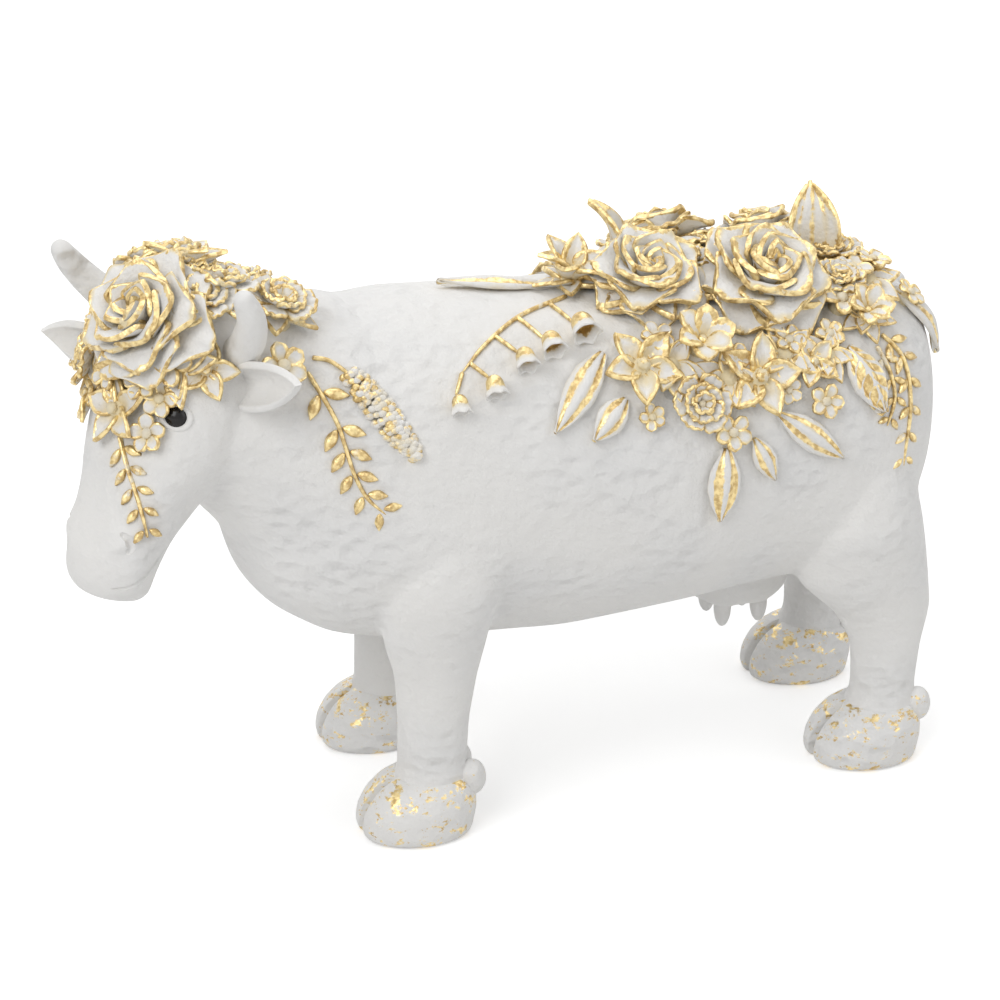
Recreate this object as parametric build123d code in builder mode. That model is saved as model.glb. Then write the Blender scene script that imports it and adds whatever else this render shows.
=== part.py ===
"""A white cow ornament with gilded flower garlands, cast in pieces that are bonded together.

The cow stands along X with its head towards -X and its left side towards -Y. Lengths are millimetres.
Stations along the body are shares of its length, and girths are degrees round it: 0 is its left, 90 its top.
"""

import os
from math import atan2, copysign, cos, degrees, pi, radians, sin

from build123d import *

# Trunk: station, underside and top as shares of the depth, width as a share of the width.
TRUNK_LENGTH = 216.0
TRUNK_DEPTH = 104.0
TRUNK_WIDTH = 98.0
TRUNK_FRONT_X = -123.0
BELLY_HEIGHT = 49.0
TRUNK_SHARES = [
    (0.000, 0.44, 0.62, 0.12),
    (0.006, 0.35, 0.70, 0.28),
    (0.022, 0.26, 0.79, 0.43),
    (0.060, 0.17, 0.89, 0.62),
    (0.130, 0.07, 0.98, 0.80),
    (0.230, 0.02, 1.01, 0.90),
    (0.440, 0.00, 0.98, 0.98),
    (0.640, 0.03, 0.97, 1.00),
    (0.800, 0.06, 0.96, 0.96),
    (0.910, 0.14, 0.96, 0.86),
    (0.968, 0.25, 0.91, 0.68),
    (0.993, 0.38, 0.81, 0.42),
    (1.000, 0.52, 0.69, 0.16),
]
TRUNK_SQUARE_SHARE = 0.86
TRUNK_SIDES = 28

# Neck: stations step forward from the shoulders, rise, and swing towards the left.
NECK_ROOT_WIDTH = 84.0
NECK_ROOT_DEPTH = 92.0
NECK_SETBACK = 35.0
NECK_ROOT_LIFT = 61.0
NECK_REACH = 52.0
NECK_RISE = 32.0
NECK_SWING = 13.0
NECK_SHARES = [
    (0.00, 0.00, 0.00, 1.00),
    (0.45, 0.34, 0.20, 0.78),
    (0.75, 0.72, 0.58, 0.60),
    (1.00, 1.00, 1.00, 0.37),
]
NECK_SQUARE_SHARE = 0.92
NECK_SIDES = 24

# Head: turned towards the left and nodding. Stations run from the poll to the lips.
HEAD_LENGTH = 89.0
HEAD_WIDTH = 50.0
HEAD_DEPTH = 46.0
HEAD_YAW = 29.0
HEAD_PITCH = 65.0
POLL_LIFT = 27.0
HEAD_SHARES = [
    (0.00, -0.16, 0.62, 0.50),
    (0.05, -0.06, 0.80, 0.72),
    (0.15, 0.01, 1.00, 0.94),
    (0.32, 0.03, 1.02, 1.00),
    (0.48, 0.02, 0.84, 0.86),
    (0.63, -0.01, 0.63, 0.70),
    (0.76, 0.01, 0.55, 0.66),
    (0.87, 0.02, 0.53, 0.68),
    (0.95, -0.03, 0.47, 0.60),
    (0.99, -0.11, 0.34, 0.42),
    (1.00, -0.19, 0.16, 0.22),
]
HEAD_SQUARE_SHARE = 0.84
HEAD_SIDES = 20
HEAD_AXIS_SHARE = 0.45
NOSTRIL_RADIUS = 3.2
NOSTRIL_DEPTH = 2.6
NOSTRIL_TAPER = 30.0
NOSTRIL_SIDES = 8
NOSTRIL_STATION_SHARE = 0.86
NOSTRIL_GIRTH = 57.0

# Horns, ears and eyes: places are shares of the head's length, width and depth.
HORN_RADIUS = 5.0
HORN_TIP_RADIUS = 0.9
HORN_SIDES = 10
HORN_SHARES = [
    (0.12, 0.30, -0.45, 1.00),
    (0.09, 0.58, -0.36, 0.95),
    (0.04, 0.70, -0.10, 0.68),
    (-0.02, 0.68, 0.17, 0.00),
]
EAR_LENGTH = 33.0
EAR_WIDTH = 13.5
EAR_THICKNESS = 2.4
EAR_ROOT_SHARES = (0.25, 0.36, -0.40)
EAR_TIP_SHARES = {"left_ear": (0.19, 0.90, -0.29), "right_ear": (0.26, 0.84, -0.06)}
EYE_RADIUS = 3.6
EYE_PROUD_SHARE = 0.35
EYE_STATION_SHARE = 0.386
EYE_GIRTH = 48.0

# Legs: height, setback, length and width of each oval section, as shares of the leg's height and girth.
LEG_SPREAD = 62.0
FRONT_LEG_STATION_SHARE = 0.241
HIND_LEG_STATION_SHARE = 0.907
FAR_LEG_STEP = 6.5
LEG_HEIGHT = 96.0
LEG_GIRTH = 21.0
LEG_SIDES = 14
FRONT_LEG_SHARES = [
    (0.12, 0.02, 1.05, 1.00),
    (0.20, 0.02, 1.00, 0.95),
    (0.36, 0.05, 1.03, 0.98),
    (0.50, 0.10, 1.18, 1.05),
    (0.62, 0.12, 1.50, 1.20),
    (0.78, 0.20, 1.80, 1.45),
    (1.00, 0.24, 1.60, 1.25),
]
HIND_LEG_SHARES = [
    (0.12, 0.06, 1.02, 1.00),
    (0.24, 0.08, 0.96, 0.92),
    (0.38, 0.10, 1.05, 0.95),
    (0.50, 0.02, 1.46, 1.02),
    (0.62, -0.34, 2.00, 1.20),
    (0.80, -0.50, 1.95, 1.50),
    (1.00, -0.52, 1.60, 1.30),
]
HOOF_LENGTH = 31.0
HOOF_WIDTH = 29.0
HOOF_HEIGHT = 17.0
TOE_REACH_SHARE = 0.135
HOOF_SHARES = [
    (0.00, 1.00, 1.00, 0.00),
    (0.22, 1.02, 1.03, 0.00),
    (0.55, 0.92, 0.96, 0.04),
    (1.00, 0.66, 0.74, 0.13),
]
CLEFT_WIDTH = 2.0
CLEFT_DEPTH = 9.0
DEWCLAW_RADIUS = 3.8
DEWCLAW_HEIGHT = 15.5
DEWCLAW_SPREAD_SHARE = 0.50
DEWCLAW_REACH = 14.0
DEWCLAW_TAPER = 6.0
DEWCLAW_SIDES = 8

# Udder and tail
UDDER_STATION_SHARE = 0.745
UDDER_LENGTH = 36.0
UDDER_WIDTH = 32.0
UDDER_DROP = 5.0
UDDER_SIDES = 12
UDDER_SHARES = [(0.0, 0.45), (0.35, 0.78), (1.0, 0.95), (2.6, 1.0)]
TEAT_RADIUS = 2.9
TEAT_DROP = 6.0
TEAT_SPREAD = 12.0
TEAT_SIDES = 8
TEAT_TAPER = 8.0
TAIL_SIDE = 13.0
TAIL_LENGTH = 74.0
TAIL_RADIUS = 4.4
TAIL_SIDES = 8
TAIL_ROOT_SHARE = 0.86
TAIL_SHARES = [
    (0.00, 0.6, 1.10),
    (0.12, 1.1, 1.00),
    (0.45, 0.9, 0.75),
    (0.66, 0.9, 0.70),
    (0.80, 1.0, 1.45),
    (1.00, 1.0, 0.35),
]

# Flowers: a radius for each kind. Each ring has a reach share, count, breadth share, cup, fold, twist and turn.
ROSE_RADIUS = 15.0
STAR_RADIUS = 10.0
RUFFLED_RADIUS = 9.5
TRUMPET_RADIUS = 8.0
LILY_RADIUS = 10.5
SMALL_RADIUS = 4.6
FLOWER_RADII = {
    "star": STAR_RADIUS,
    "ruffled": RUFFLED_RADIUS,
    "trumpet": TRUMPET_RADIUS,
    "lily": LILY_RADIUS,
    "small": SMALL_RADIUS,
    "rose": ROSE_RADIUS,
}
SEAT_STEP_SHARE = 0.02
SEAT_TURN = 5.0
PETAL_THICKNESS = 1.5
FOOT_HEIGHT = 1.2
FLOWER_LIFT = 6.0
SEAT_GAP = 0.2
FOOT_SHARE = 0.42
HEART_SHARE = 0.17
HEART_LIFT_SHARE = 0.30
HEART_SIDES = 6
POINTED_SHARES = [(0.00, 0.0), (0.14, 0.20), (0.55, 0.50), (0.82, 0.27), (1.00, 0.0)]
ROUND_SHARES = [(0.00, 0.0), (0.30, 0.34), (0.68, 0.50), (0.92, 0.34), (1.00, 0.0)]
PETAL_SHARES = {
    "star": [(1.00, 5, 0.66, 14, 14, 0, 0, POINTED_SHARES)],
    "ruffled": [(1.00, 5, 0.96, 12, 0, 13, 0, ROUND_SHARES), (0.62, 4, 0.66, 34, 0, 16, 36, ROUND_SHARES)],
    "trumpet": [(1.00, 6, 0.72, 24, 0, 12, 0, ROUND_SHARES)],
    "lily": [(1.00, 6, 0.58, 38, 16, 0, 0, POINTED_SHARES)],
    "small": [(1.00, 5, 0.84, 18, 0, 12, 0, ROUND_SHARES)],
    "rose": [
        (1.00, 5, 0.98, 10, 0, 14, 0, ROUND_SHARES),
        (0.80, 5, 0.84, 28, 0, 18, 36, ROUND_SHARES),
        (0.58, 4, 0.66, 48, 0, 20, 10, ROUND_SHARES),
    ],
}

# Flowers on the trunk: kind, station share, girth, lean, size share, lift share and spin of each.
TRUNK_FLOWER_SHARES = {
    "saddle_rose_front": [("rose", 0.575, 74, 0, 1.00, 0.7, 10)],
    "saddle_rose_rear": [("rose", 0.735, 68, 0, 1.15, 0.7, 40)],
    "saddle_rose_top": [("rose", 0.790, 99, 0, 0.92, 0.8, 20)],
    "saddle_lily": [("lily", 0.487, 86, 0, 1.05, 0.3, 0)],
    "saddle_trumpet": [("trumpet", 0.612, 48, 0, 1.00, 0.2, 15)],
    "saddle_star_front": [("star", 0.524, 43, 0, 1.00, 0.0, 12)],
    "saddle_star_rear": [("star", 0.683, 35, 0, 1.05, 0.0, 40)],
    "saddle_star_side": [("star", 0.765, 38, 0, 0.70, 0.0, 0)],
    "saddle_ruffled": [("ruffled", 0.595, 29, 0, 0.80, 0.0, 0)],
    "rear_trumpet": [("trumpet", 0.862, 53, 0, 0.80, 0.3, 0)],
    "rear_ruffled": [("ruffled", 0.865, 84, 0, 0.85, 0.5, 0)],
    "saddle_small_flowers": [
        ("small", 0.800, 47, 0, 0.92, 0.0, 0),
        ("small", 0.774, 25, 0, 1.00, 0.0, 30),
        ("small", 0.635, 19, 0, 1.05, 0.0, 15),
        ("small", 0.526, 27, 0, 0.78, 0.0, 0),
        ("small", 0.905, 74, 0, 1.00, 0.6, 20),
        ("small", 0.940, 62, 0, 0.90, 0.3, 0),
    ],
    "far_rose": [("rose", 0.655, 108, 0, 0.98, 0.7, 30)],
    "far_star_front": [("star", 0.530, 136, 0, 1.00, 0.0, 0)],
    "far_star_rear": [("star", 0.690, 143, 0, 1.00, 0.0, 24)],
    "far_trumpet": [("trumpet", 0.780, 126, 0, 1.00, 0.2, 0)],
    "far_ruffled": [("ruffled", 0.600, 150, 0, 0.85, 0.0, 0)],
    "far_small_flowers": [
        ("small", 0.760, 148, 0, 1.00, 0.0, 0),
        ("small", 0.645, 161, 0, 1.00, 0.0, 20),
        ("small", 0.860, 128, 0, 0.90, 0.0, 0),
    ],
    "nape_ruffled": [("ruffled", 0.062, 74, 0, 0.90, 0.7, 0)],
    "nape_small_flowers": [("small", 0.048, 57, 0, 1.30, 0.4, 0), ("small", 0.055, 106, 0, 1.20, 0.4, 0)],
}

# Flowers on the head: the same, with stations along the head and leans towards the poll.
HEAD_FLOWER_SHARES = {
    "crown_rose": [("rose", 0.140, 84, 0, 1.12, 0.4, 15)],
    "crown_ruffled_right": [("ruffled", 0.060, 126, 20, 1.20, 0.5, 0)],
    "crown_lily": [("lily", 0.240, 90, 60, 1.00, 0.4, 20)],
    "crown_ruffled_left": [("ruffled", 0.240, 42, 60, 0.95, 0.4, 0)],
    "crown_ruffled_far": [("ruffled", 0.260, 138, 0, 1.05, 0.2, 0)],
    "brow_star": [("star", 0.415, 92, 0, 0.90, 0.0, 18)],
    "ear_star": [("star", 0.225, 38, 0, 0.75, 0.0, 0)],
    "far_brow_star": [("star", 0.400, 134, 0, 0.80, 0.0, 0)],
    "brow_small_flowers": [
        ("small", 0.345, 60, 0, 1.05, 0.0, 0),
        ("small", 0.457, 62, 0, 1.05, 0.0, 20),
        ("small", 0.350, 116, 0, 0.85, 0.0, 0),
    ],
}

# Leaves: base and tip of each on the trunk, as station shares and girths, and a width.
LEAF_HEIGHT = 2.2
LEAF_STEPS = 5
LEAF_EDGE = 0.5
LEAF_TAPER_SHARE = 0.85
LEAF_MIDDLE_SHARE = 0.45
BLADE_WIDTH = 9.0
TRUNK_LEAF_SHARES = {
    "saddle_blades": [
        ((0.480, 50), (0.392, 26), 1.00),
        ((0.627, 14), (0.617, -11), 1.05),
        ((0.705, 23), (0.797, 5), 0.90),
    ],
    "saddle_bud_leaves": [((0.496, 34), (0.443, 22), 0.90), ((0.667, 16), (0.695, 1), 0.75)],
    "ovate_leaf": [((0.822, 42), (0.862, 19), 1.15)],
    "spine_leaf": [((0.460, 87), (0.308, 93), 0.85)],
    "far_blades": [
        ((0.490, 128), (0.395, 152), 1.00),
        ((0.640, 166), (0.625, 190), 1.00),
        ((0.720, 157), (0.800, 175), 0.90),
    ],
}

# Sprigs: stem points as station shares and girths, then the count and size of the leaflets on each side.
STEM_WIDTH = 1.8
STEM_HEIGHT = 1.5
LEAFLET_LENGTH = 6.5
LEAFLET_WIDTH = 3.4
LEAFLET_HEIGHT = 1.5
LEAFLET_SPREAD = 52.0
TRUNK_SPRIG_SHARES = {
    "neck_sprig": ([(0.085, 56), (0.111, 41), (0.121, 31), (0.130, 21), (0.146, 11), (0.172, 3)], 6, 1.0),
    "rump_sprig_long": ([(0.880, 46), (0.906, 37), (0.912, 20), (0.904, 2), (0.900, -15)], 7, 0.80),
    "rump_sprig_short": ([(0.868, 42), (0.882, 32), (0.885, 23), (0.872, 13)], 4, 0.72),
    "far_neck_sprig": ([(0.085, 124), (0.111, 139), (0.121, 149), (0.130, 159), (0.146, 169)], 6, 1.0),
    "far_rump_sprig": ([(0.880, 134), (0.906, 143), (0.912, 160), (0.904, 178)], 6, 0.80),
}
FACE_SPRIG_SHARES = ([(0.500, 88), (0.580, 78), (0.650, 68), (0.730, 60)], 4, 0.72)
SPIKE_SHARES = [(0.140, 53), (0.178, 38), (0.214, 23)]
SPIKE_STEM_SHARES = [(0.095, 60), (0.118, 58), (0.142, 52)]
SPIKE_BEAD_RADIUS = 2.6
SPIKE_BEADS = 8
SPIKE_TURN = 40.0
SPIKE_TAPER = 25.0
SPIKE_SIDES = 6
SPIKE_SEAT_GAP = 0.6
BELL_STEM_SHARES = [(0.470, 78), (0.393, 69), (0.328, 58), (0.285, 49)]
BELL_SHARES = [(0.457, 62, 1.15), (0.408, 57, 1.0), (0.367, 53, 0.95), (0.319, 46, 0.9), (0.270, 42, 0.8)]
BELL_RADIUS = 4.0
BELL_LENGTH = 7.0
BELL_SIDES = 8
BELL_PROFILE_SHARES = [(0.0, 0.35), (0.30, 0.62), (0.75, 0.72), (1.0, 1.0)]

# Leaves that stand up from the spine and curl over
CURL_HEIGHT = 15.0
CURL_WIDTH = 9.0
CURL_THICKNESS = 1.6
CURL_SHARES = {"curled_leaf_front": (0.560, 92, 180), "curled_leaf_rear": (0.835, 84, 20)}
CURL_PROFILE_SHARES = [(0.0, 0.0), (0.0, 0.35), (0.14, 0.70), (0.46, 1.0)]
CURL_OUTLINE_SHARES = [(-0.2, 0.0), (-0.5, 0.4), (-0.3, 0.8), (0.0, 1.0), (0.3, 0.8), (0.5, 0.4), (0.2, 0.0)]


def egg_section(plane, half_width, half_depth, square_share, sides):
    """A closed oval of straight sides on a plane. A lower square share makes it squarer."""
    turns = [2 * pi * step / sides for step in range(sides)]
    swell = [(cos(turn), sin(turn)) for turn in turns]
    with BuildSketch(plane) as section:
        with BuildLine():
            Polyline(
                *[
                    (
                        half_width * copysign(abs(across) ** square_share, across),
                        half_depth * copysign(abs(up) ** square_share, up),
                    )
                    for across, up in swell
                ],
                close=True,
            )
        make_face()
    return section.sketch


def girth_plane(centre, forward):
    """A section plane square to the forward direction, with its second axis pointing up."""
    across = Vector(0, 0, 1).cross(forward)
    return Plane(origin=centre, x_dir=across, z_dir=forward)


# Trunk with its neck
def trunk_station(along):
    """The X place of a share of the trunk's length."""
    return TRUNK_FRONT_X + along * TRUNK_LENGTH


def trunk_section(along, low, high, wide):
    """One upright section of the barrel, from its shares."""
    half_depth = (high - low) * TRUNK_DEPTH / 2
    centre = Vector(trunk_station(along), 0, BELLY_HEIGHT + low * TRUNK_DEPTH + half_depth)
    plane = girth_plane(centre, Vector(1, 0, 0))
    return egg_section(plane, wide * TRUNK_WIDTH / 2, half_depth, TRUNK_SQUARE_SHARE, TRUNK_SIDES)


def neck_section(reach, rise, swing, size):
    """One section of the neck, square to the way that the neck runs."""
    step = Vector(-reach * NECK_REACH, -swing * NECK_SWING, rise * NECK_RISE)
    root = Vector(TRUNK_FRONT_X + NECK_SETBACK, 0, BELLY_HEIGHT + NECK_ROOT_LIFT)
    plane = girth_plane(root + step, Vector(-NECK_REACH, step.Y, step.Z))
    half_width = size * NECK_ROOT_WIDTH / 2
    return egg_section(plane, half_width, size * NECK_ROOT_DEPTH / 2, NECK_SQUARE_SHARE, NECK_SIDES)


with BuildPart() as trunk:
    loft([trunk_section(*shares) for shares in TRUNK_SHARES], ruled=True)
    loft([neck_section(*shares) for shares in NECK_SHARES], ruled=True)

# Head
ahead = Vector(-cos(radians(HEAD_YAW)), -sin(radians(HEAD_YAW)), 0)
head_left = Vector(sin(radians(HEAD_YAW)), -cos(radians(HEAD_YAW)), 0)
head_down = ahead * cos(radians(HEAD_PITCH)) - Vector(0, 0, 1) * sin(radians(HEAD_PITCH))
head_face = ahead * sin(radians(HEAD_PITCH)) + Vector(0, 0, 1) * cos(radians(HEAD_PITCH))
neck_end_x = TRUNK_FRONT_X + NECK_SETBACK - NECK_REACH
neck_end_z = BELLY_HEIGHT + NECK_ROOT_LIFT + NECK_RISE
poll = Vector(neck_end_x, -NECK_SWING, neck_end_z + POLL_LIFT)


def head_point(along, left, face):
    """A place in the head, from shares of its length, width and depth."""
    across = head_left * (left * HEAD_WIDTH) + head_face * (face * HEAD_DEPTH)
    return poll + head_down * (along * HEAD_LENGTH) + across


def head_section(along, face, deep, wide):
    """One section of the head, square to the line from the poll to the lips."""
    half_depth = deep * HEAD_DEPTH / 2
    centre = head_point(along, 0, face) - head_face * half_depth
    plane = Plane(origin=centre, x_dir=head_left, z_dir=head_down)
    return egg_section(plane, wide * HEAD_WIDTH / 2, half_depth, HEAD_SQUARE_SHARE, HEAD_SIDES)


with BuildPart() as whole_head:
    loft([head_section(*shares) for shares in HEAD_SHARES], ruled=True)


# Seats: planes on the skin, with the first axis towards the head's end and the third outwards.
def skin_point(carrier, start, outward):
    """Where a line from inside the carrier comes out through its skin."""
    crossings = carrier.shells()[0].find_intersection_points(Axis(start, outward))
    return max((point for point, normal in crossings), key=lambda point: (point - start).dot(outward))


def skin_seat(point_at, along, girth, lean, turn):
    """The plane through a skin point, square to the skin as its neighbours show it."""
    ahead_of = point_at(along - SEAT_STEP_SHARE, girth, lean)
    behind = point_at(along + SEAT_STEP_SHARE, girth, lean)
    below = point_at(along, girth - turn, lean)
    above = point_at(along, girth + turn, lean)
    run = ahead_of - behind
    return Plane(origin=point_at(along, girth, lean), x_dir=run, z_dir=(below - above).cross(run))


def trunk_point(along, girth, lean):
    """A point on the trunk's skin at a station and girth. Lean tips the line towards the tail."""
    start = Vector(trunk_station(along), 0, BELLY_HEIGHT + TRUNK_DEPTH / 2)
    ring = Vector(0, -cos(radians(girth)), sin(radians(girth)))
    return skin_point(trunk.part, start, ring * cos(radians(lean)) + Vector(1, 0, 0) * sin(radians(lean)))


def head_point_on(along, girth, lean):
    """A point on the head's skin at a station and girth. Lean tips the line towards the poll."""
    start = head_point(along, 0, -HEAD_AXIS_SHARE)
    ring = head_left * cos(radians(girth)) + head_face * sin(radians(girth))
    return skin_point(whole_head.part, start, ring * cos(radians(lean)) - head_down * sin(radians(lean)))


def trunk_seat(along, girth, lean=0):
    """A seat on the trunk."""
    return skin_seat(trunk_point, along, girth, lean, -SEAT_TURN)


def head_seat(along, girth, lean=0):
    """A seat on the head."""
    return skin_seat(head_point_on, along, girth, lean, SEAT_TURN)


with BuildPart() as head:
    add(whole_head.part)
    for girth in (NOSTRIL_GIRTH, 180 - NOSTRIL_GIRTH):
        with BuildSketch(head_seat(NOSTRIL_STATION_SHARE, girth)):
            RegularPolygon(NOSTRIL_RADIUS, NOSTRIL_SIDES)
        extrude(amount=-NOSTRIL_DEPTH, taper=NOSTRIL_TAPER, mode=Mode.SUBTRACT)


def settled(piece, *carriers):
    """A piece cut to seat against what carries it. Its largest solid is kept."""
    with BuildPart() as seated:
        add(piece)
        if carriers:
            add(carriers, mode=Mode.SUBTRACT)
    return seated.part.solids().sort_by(SortBy.VOLUME)[-1]


pieces = {"trunk": trunk.part, "head": settled(head.part, trunk.part)}


# Legs
def leg(along, side, step, shares):
    """One leg on its cloven hoof with two dewclaws, cut to seat against the trunk."""
    x = trunk_station(along) + step
    y = side * LEG_SPREAD / 2
    toe = x - TOE_REACH_SHARE * HOOF_LENGTH
    with BuildPart() as column:
        for high, back, long, wide in shares:
            plane = Plane(origin=(x + back * LEG_GIRTH, y, high * LEG_HEIGHT))
            add(egg_section(plane, long * LEG_GIRTH / 2, wide * LEG_GIRTH / 2, 1, LEG_SIDES))
        loft(ruled=True)
        for high, long, wide, back in HOOF_SHARES:
            plane = Plane(origin=(toe + back * HOOF_LENGTH, y, high * HOOF_HEIGHT))
            add(egg_section(plane, long * HOOF_LENGTH / 2, wide * HOOF_WIDTH / 2, 1, LEG_SIDES))
        loft(ruled=True)
        claw = DEWCLAW_SPREAD_SHARE * LEG_GIRTH / 2
        with BuildSketch(Plane(origin=(x, y, DEWCLAW_HEIGHT), x_dir=(0, 1, 0), z_dir=(1, 0, 0))):
            with Locations((-claw, 0), (claw, 0)):
                RegularPolygon(DEWCLAW_RADIUS, DEWCLAW_SIDES)
        extrude(amount=DEWCLAW_REACH, taper=DEWCLAW_TAPER)
        with BuildSketch(Plane.XY):
            with Locations((toe - HOOF_LENGTH / 2, y)):
                Rectangle(2 * CLEFT_DEPTH, CLEFT_WIDTH)
        extrude(amount=HOOF_HEIGHT, mode=Mode.SUBTRACT)
    return settled(column.part, trunk.part)


pieces["front_left_leg"] = leg(FRONT_LEG_STATION_SHARE, -1, 0, FRONT_LEG_SHARES)
pieces["front_right_leg"] = leg(FRONT_LEG_STATION_SHARE, 1, FAR_LEG_STEP, FRONT_LEG_SHARES)
pieces["hind_left_leg"] = leg(HIND_LEG_STATION_SHARE, -1, 0, HIND_LEG_SHARES)
pieces["hind_right_leg"] = leg(HIND_LEG_STATION_SHARE, 1, FAR_LEG_STEP, HIND_LEG_SHARES)


# Horns, ears and eyes
def horn(side):
    """A short horn of round sections that sweep out, forwards and up."""
    centres = [head_point(along, side * left, face) for along, left, face, size in HORN_SHARES]
    run = Spline(*centres, mode=Mode.PRIVATE)
    with BuildPart() as curve:
        for station, (along, left, face, size) in zip((0, 1 / 3, 2 / 3, 1), HORN_SHARES):
            with BuildSketch(Plane(origin=run @ station, z_dir=run % station)):
                RegularPolygon(HORN_TIP_RADIUS + size * (HORN_RADIUS - HORN_TIP_RADIUS), HORN_SIDES)
        loft(ruled=True)
    return settled(curve.part, pieces["head"], trunk.part)


def ear(side, tip_shares):
    """A cupped leaf of an ear, hollow towards the face."""
    along, left, face = EAR_ROOT_SHARES
    root = head_point(along, side * left, face)
    tip_along, tip_left, tip_face = tip_shares
    reach = head_point(tip_along, side * tip_left, tip_face) - root
    opening = head_face - reach * (head_face.dot(reach) / reach.dot(reach))
    flat = Plane(origin=root, x_dir=reach, z_dir=opening)
    with BuildPart() as cup:
        with BuildSketch(Plane.YZ):
            with BuildLine():
                rim = EAR_WIDTH / 2
                ThreePointArc((-rim, rim), (0, 0), (rim, rim))
                Line((rim, rim), (rim, rim - EAR_THICKNESS))
                ThreePointArc((rim, rim - EAR_THICKNESS), (0, -EAR_THICKNESS), (-rim, rim - EAR_THICKNESS))
                Line((-rim, rim - EAR_THICKNESS), (-rim, rim))
            make_face()
        extrude(amount=EAR_LENGTH)
        with BuildSketch(Plane.XY.offset(-EAR_THICKNESS)):
            add(almond(Vector(0, 0, 0), Vector(EAR_LENGTH, 0, 0), EAR_WIDTH))
        extrude(amount=EAR_WIDTH, mode=Mode.INTERSECT)
    return settled(cup.part.moved(flat.location), pieces["head"], trunk.part)


def almond(start, end, width):
    """A leaf outline on XY between two points: two arcs that meet at the ends."""
    middle = (start + end) / 2
    across = (end - start).rotate(Axis.Z, 90).normalized() * (width / 2)
    with BuildSketch() as outline:
        with BuildLine():
            ThreePointArc(start, middle + across, end)
            ThreePointArc(end, middle - across, start)
        make_face()
    return outline.sketch


pieces["left_horn"] = horn(1)
pieces["right_horn"] = horn(-1)
for name, side in (("left_ear", 1), ("right_ear", -1)):
    pieces[name] = ear(side, EAR_TIP_SHARES[name])
for name, girth in (("left_eye", EYE_GIRTH), ("right_eye", 180 - EYE_GIRTH)):
    with BuildPart() as eye:
        with Locations(head_seat(EYE_STATION_SHARE, girth).offset((EYE_PROUD_SHARE - 1) * EYE_RADIUS).location):
            Sphere(EYE_RADIUS)
    pieces[name] = settled(eye.part, pieces["head"], trunk.part)

# Udder and tail
udder_x = trunk_station(UDDER_STATION_SHARE)
udder_low = BELLY_HEIGHT - UDDER_DROP
with BuildPart() as udder:
    for lift, size in UDDER_SHARES:
        plane = Plane(origin=(udder_x, 0, udder_low + lift * UDDER_DROP))
        add(egg_section(plane, size * UDDER_LENGTH / 2, size * UDDER_WIDTH / 2, 1, UDDER_SIDES))
    loft(ruled=True)
    with BuildSketch(Plane.XY.offset(udder_low + UDDER_DROP)):
        with Locations((udder_x, 0)):
            with GridLocations(TEAT_SPREAD, TEAT_SPREAD, 2, 2):
                RegularPolygon(TEAT_RADIUS, TEAT_SIDES)
    extrude(amount=-UDDER_DROP - TEAT_DROP, taper=TEAT_TAPER)
pieces["udder"] = settled(udder.part, trunk.part)

with BuildPart() as tail:
    top = BELLY_HEIGHT + TAIL_ROOT_SHARE * TRUNK_DEPTH
    for drop, out, size in TAIL_SHARES:
        centre = (trunk_station(1) + out * TAIL_RADIUS - TAIL_RADIUS / 2, TAIL_SIDE, top - drop * TAIL_LENGTH)
        add(egg_section(Plane(origin=centre), size * TAIL_RADIUS, size * TAIL_RADIUS, 1, TAIL_SIDES))
    loft(ruled=True)
pieces["tail"] = settled(tail.part, trunk.part)


# Flowers
BODY_NAMES = ("trunk", "head", "front_left_leg", "front_right_leg", "hind_left_leg", "hind_right_leg", "udder")


def petal(length, width, cup, fold, twist, outline):
    """One petal tipped up by the cup and twisted about its length. A fold makes it two halves with a crease."""
    tipped = Plane.XY.rotated((0, -cup, 0))
    with BuildPart() as blade:
        for side in (-1, 1) if fold else (1,):
            edge = [(along * length, side * across * width) for along, across in outline]
            other_edge = [] if fold else [(along, -across) for along, across in edge[-2:0:-1]]
            with BuildSketch(tipped.rotated((side * fold + twist, 0, 0))):
                Polygon(*edge, *other_edge, align=None)
            extrude(amount=PETAL_THICKNESS)
    return blade.part


def bloom(kind):
    """Rings of petals round a raised heart, on a short foot."""
    radius = FLOWER_RADII[kind]
    with BuildPart() as rings:
        for reach, count, breadth, cup, fold, twist, turn, outline in PETAL_SHARES[kind]:
            blade = petal(reach * radius, breadth * radius, cup, fold, twist, outline)
            with PolarLocations(0, count, start_angle=turn):
                add(blade, clean=False)
        for height, share in (
            (-FOOT_HEIGHT, FOOT_SHARE),
            (PETAL_THICKNESS, FOOT_SHARE),
            (HEART_LIFT_SHARE * radius, HEART_SHARE),
        ):
            with BuildSketch(Plane.XY.offset(height)):
                RegularPolygon(share * radius, HEART_SIDES)
        loft(ruled=True)
    return rings.part


blooms = {kind: bloom(kind) for kind in PETAL_SHARES}


def flower(kind, size, lift, spin, place):
    """A flower of its kind at a size, turned by its spin. A longer foot stands under it where it is lifted."""
    grown = scale(blooms[kind], by=size, mode=Mode.PRIVATE)
    with BuildPart() as stood:
        add(grown.moved(Location((0, 0, SEAT_GAP + size * FOOT_HEIGHT + lift * FLOWER_LIFT))))
        if lift:
            with BuildSketch(Plane.XY.offset(SEAT_GAP)):
                RegularPolygon(size * FOOT_SHARE * FLOWER_RADII[kind], HEART_SIDES)
            extrude(amount=size * FOOT_HEIGHT + lift * FLOWER_LIFT)
    return stood.part.moved(place.location * Location((0, 0, 0), (0, 0, spin)))


def apart(first, second):
    """Whether two boxes are clear of each other."""
    return any(
        low > other_high or other_low > high
        for low, high, other_low, other_high in zip(first.min, first.max, second.min, second.max)
    )


boxes = {name: piece.bounding_box() for name, piece in pieces.items()}


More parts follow.
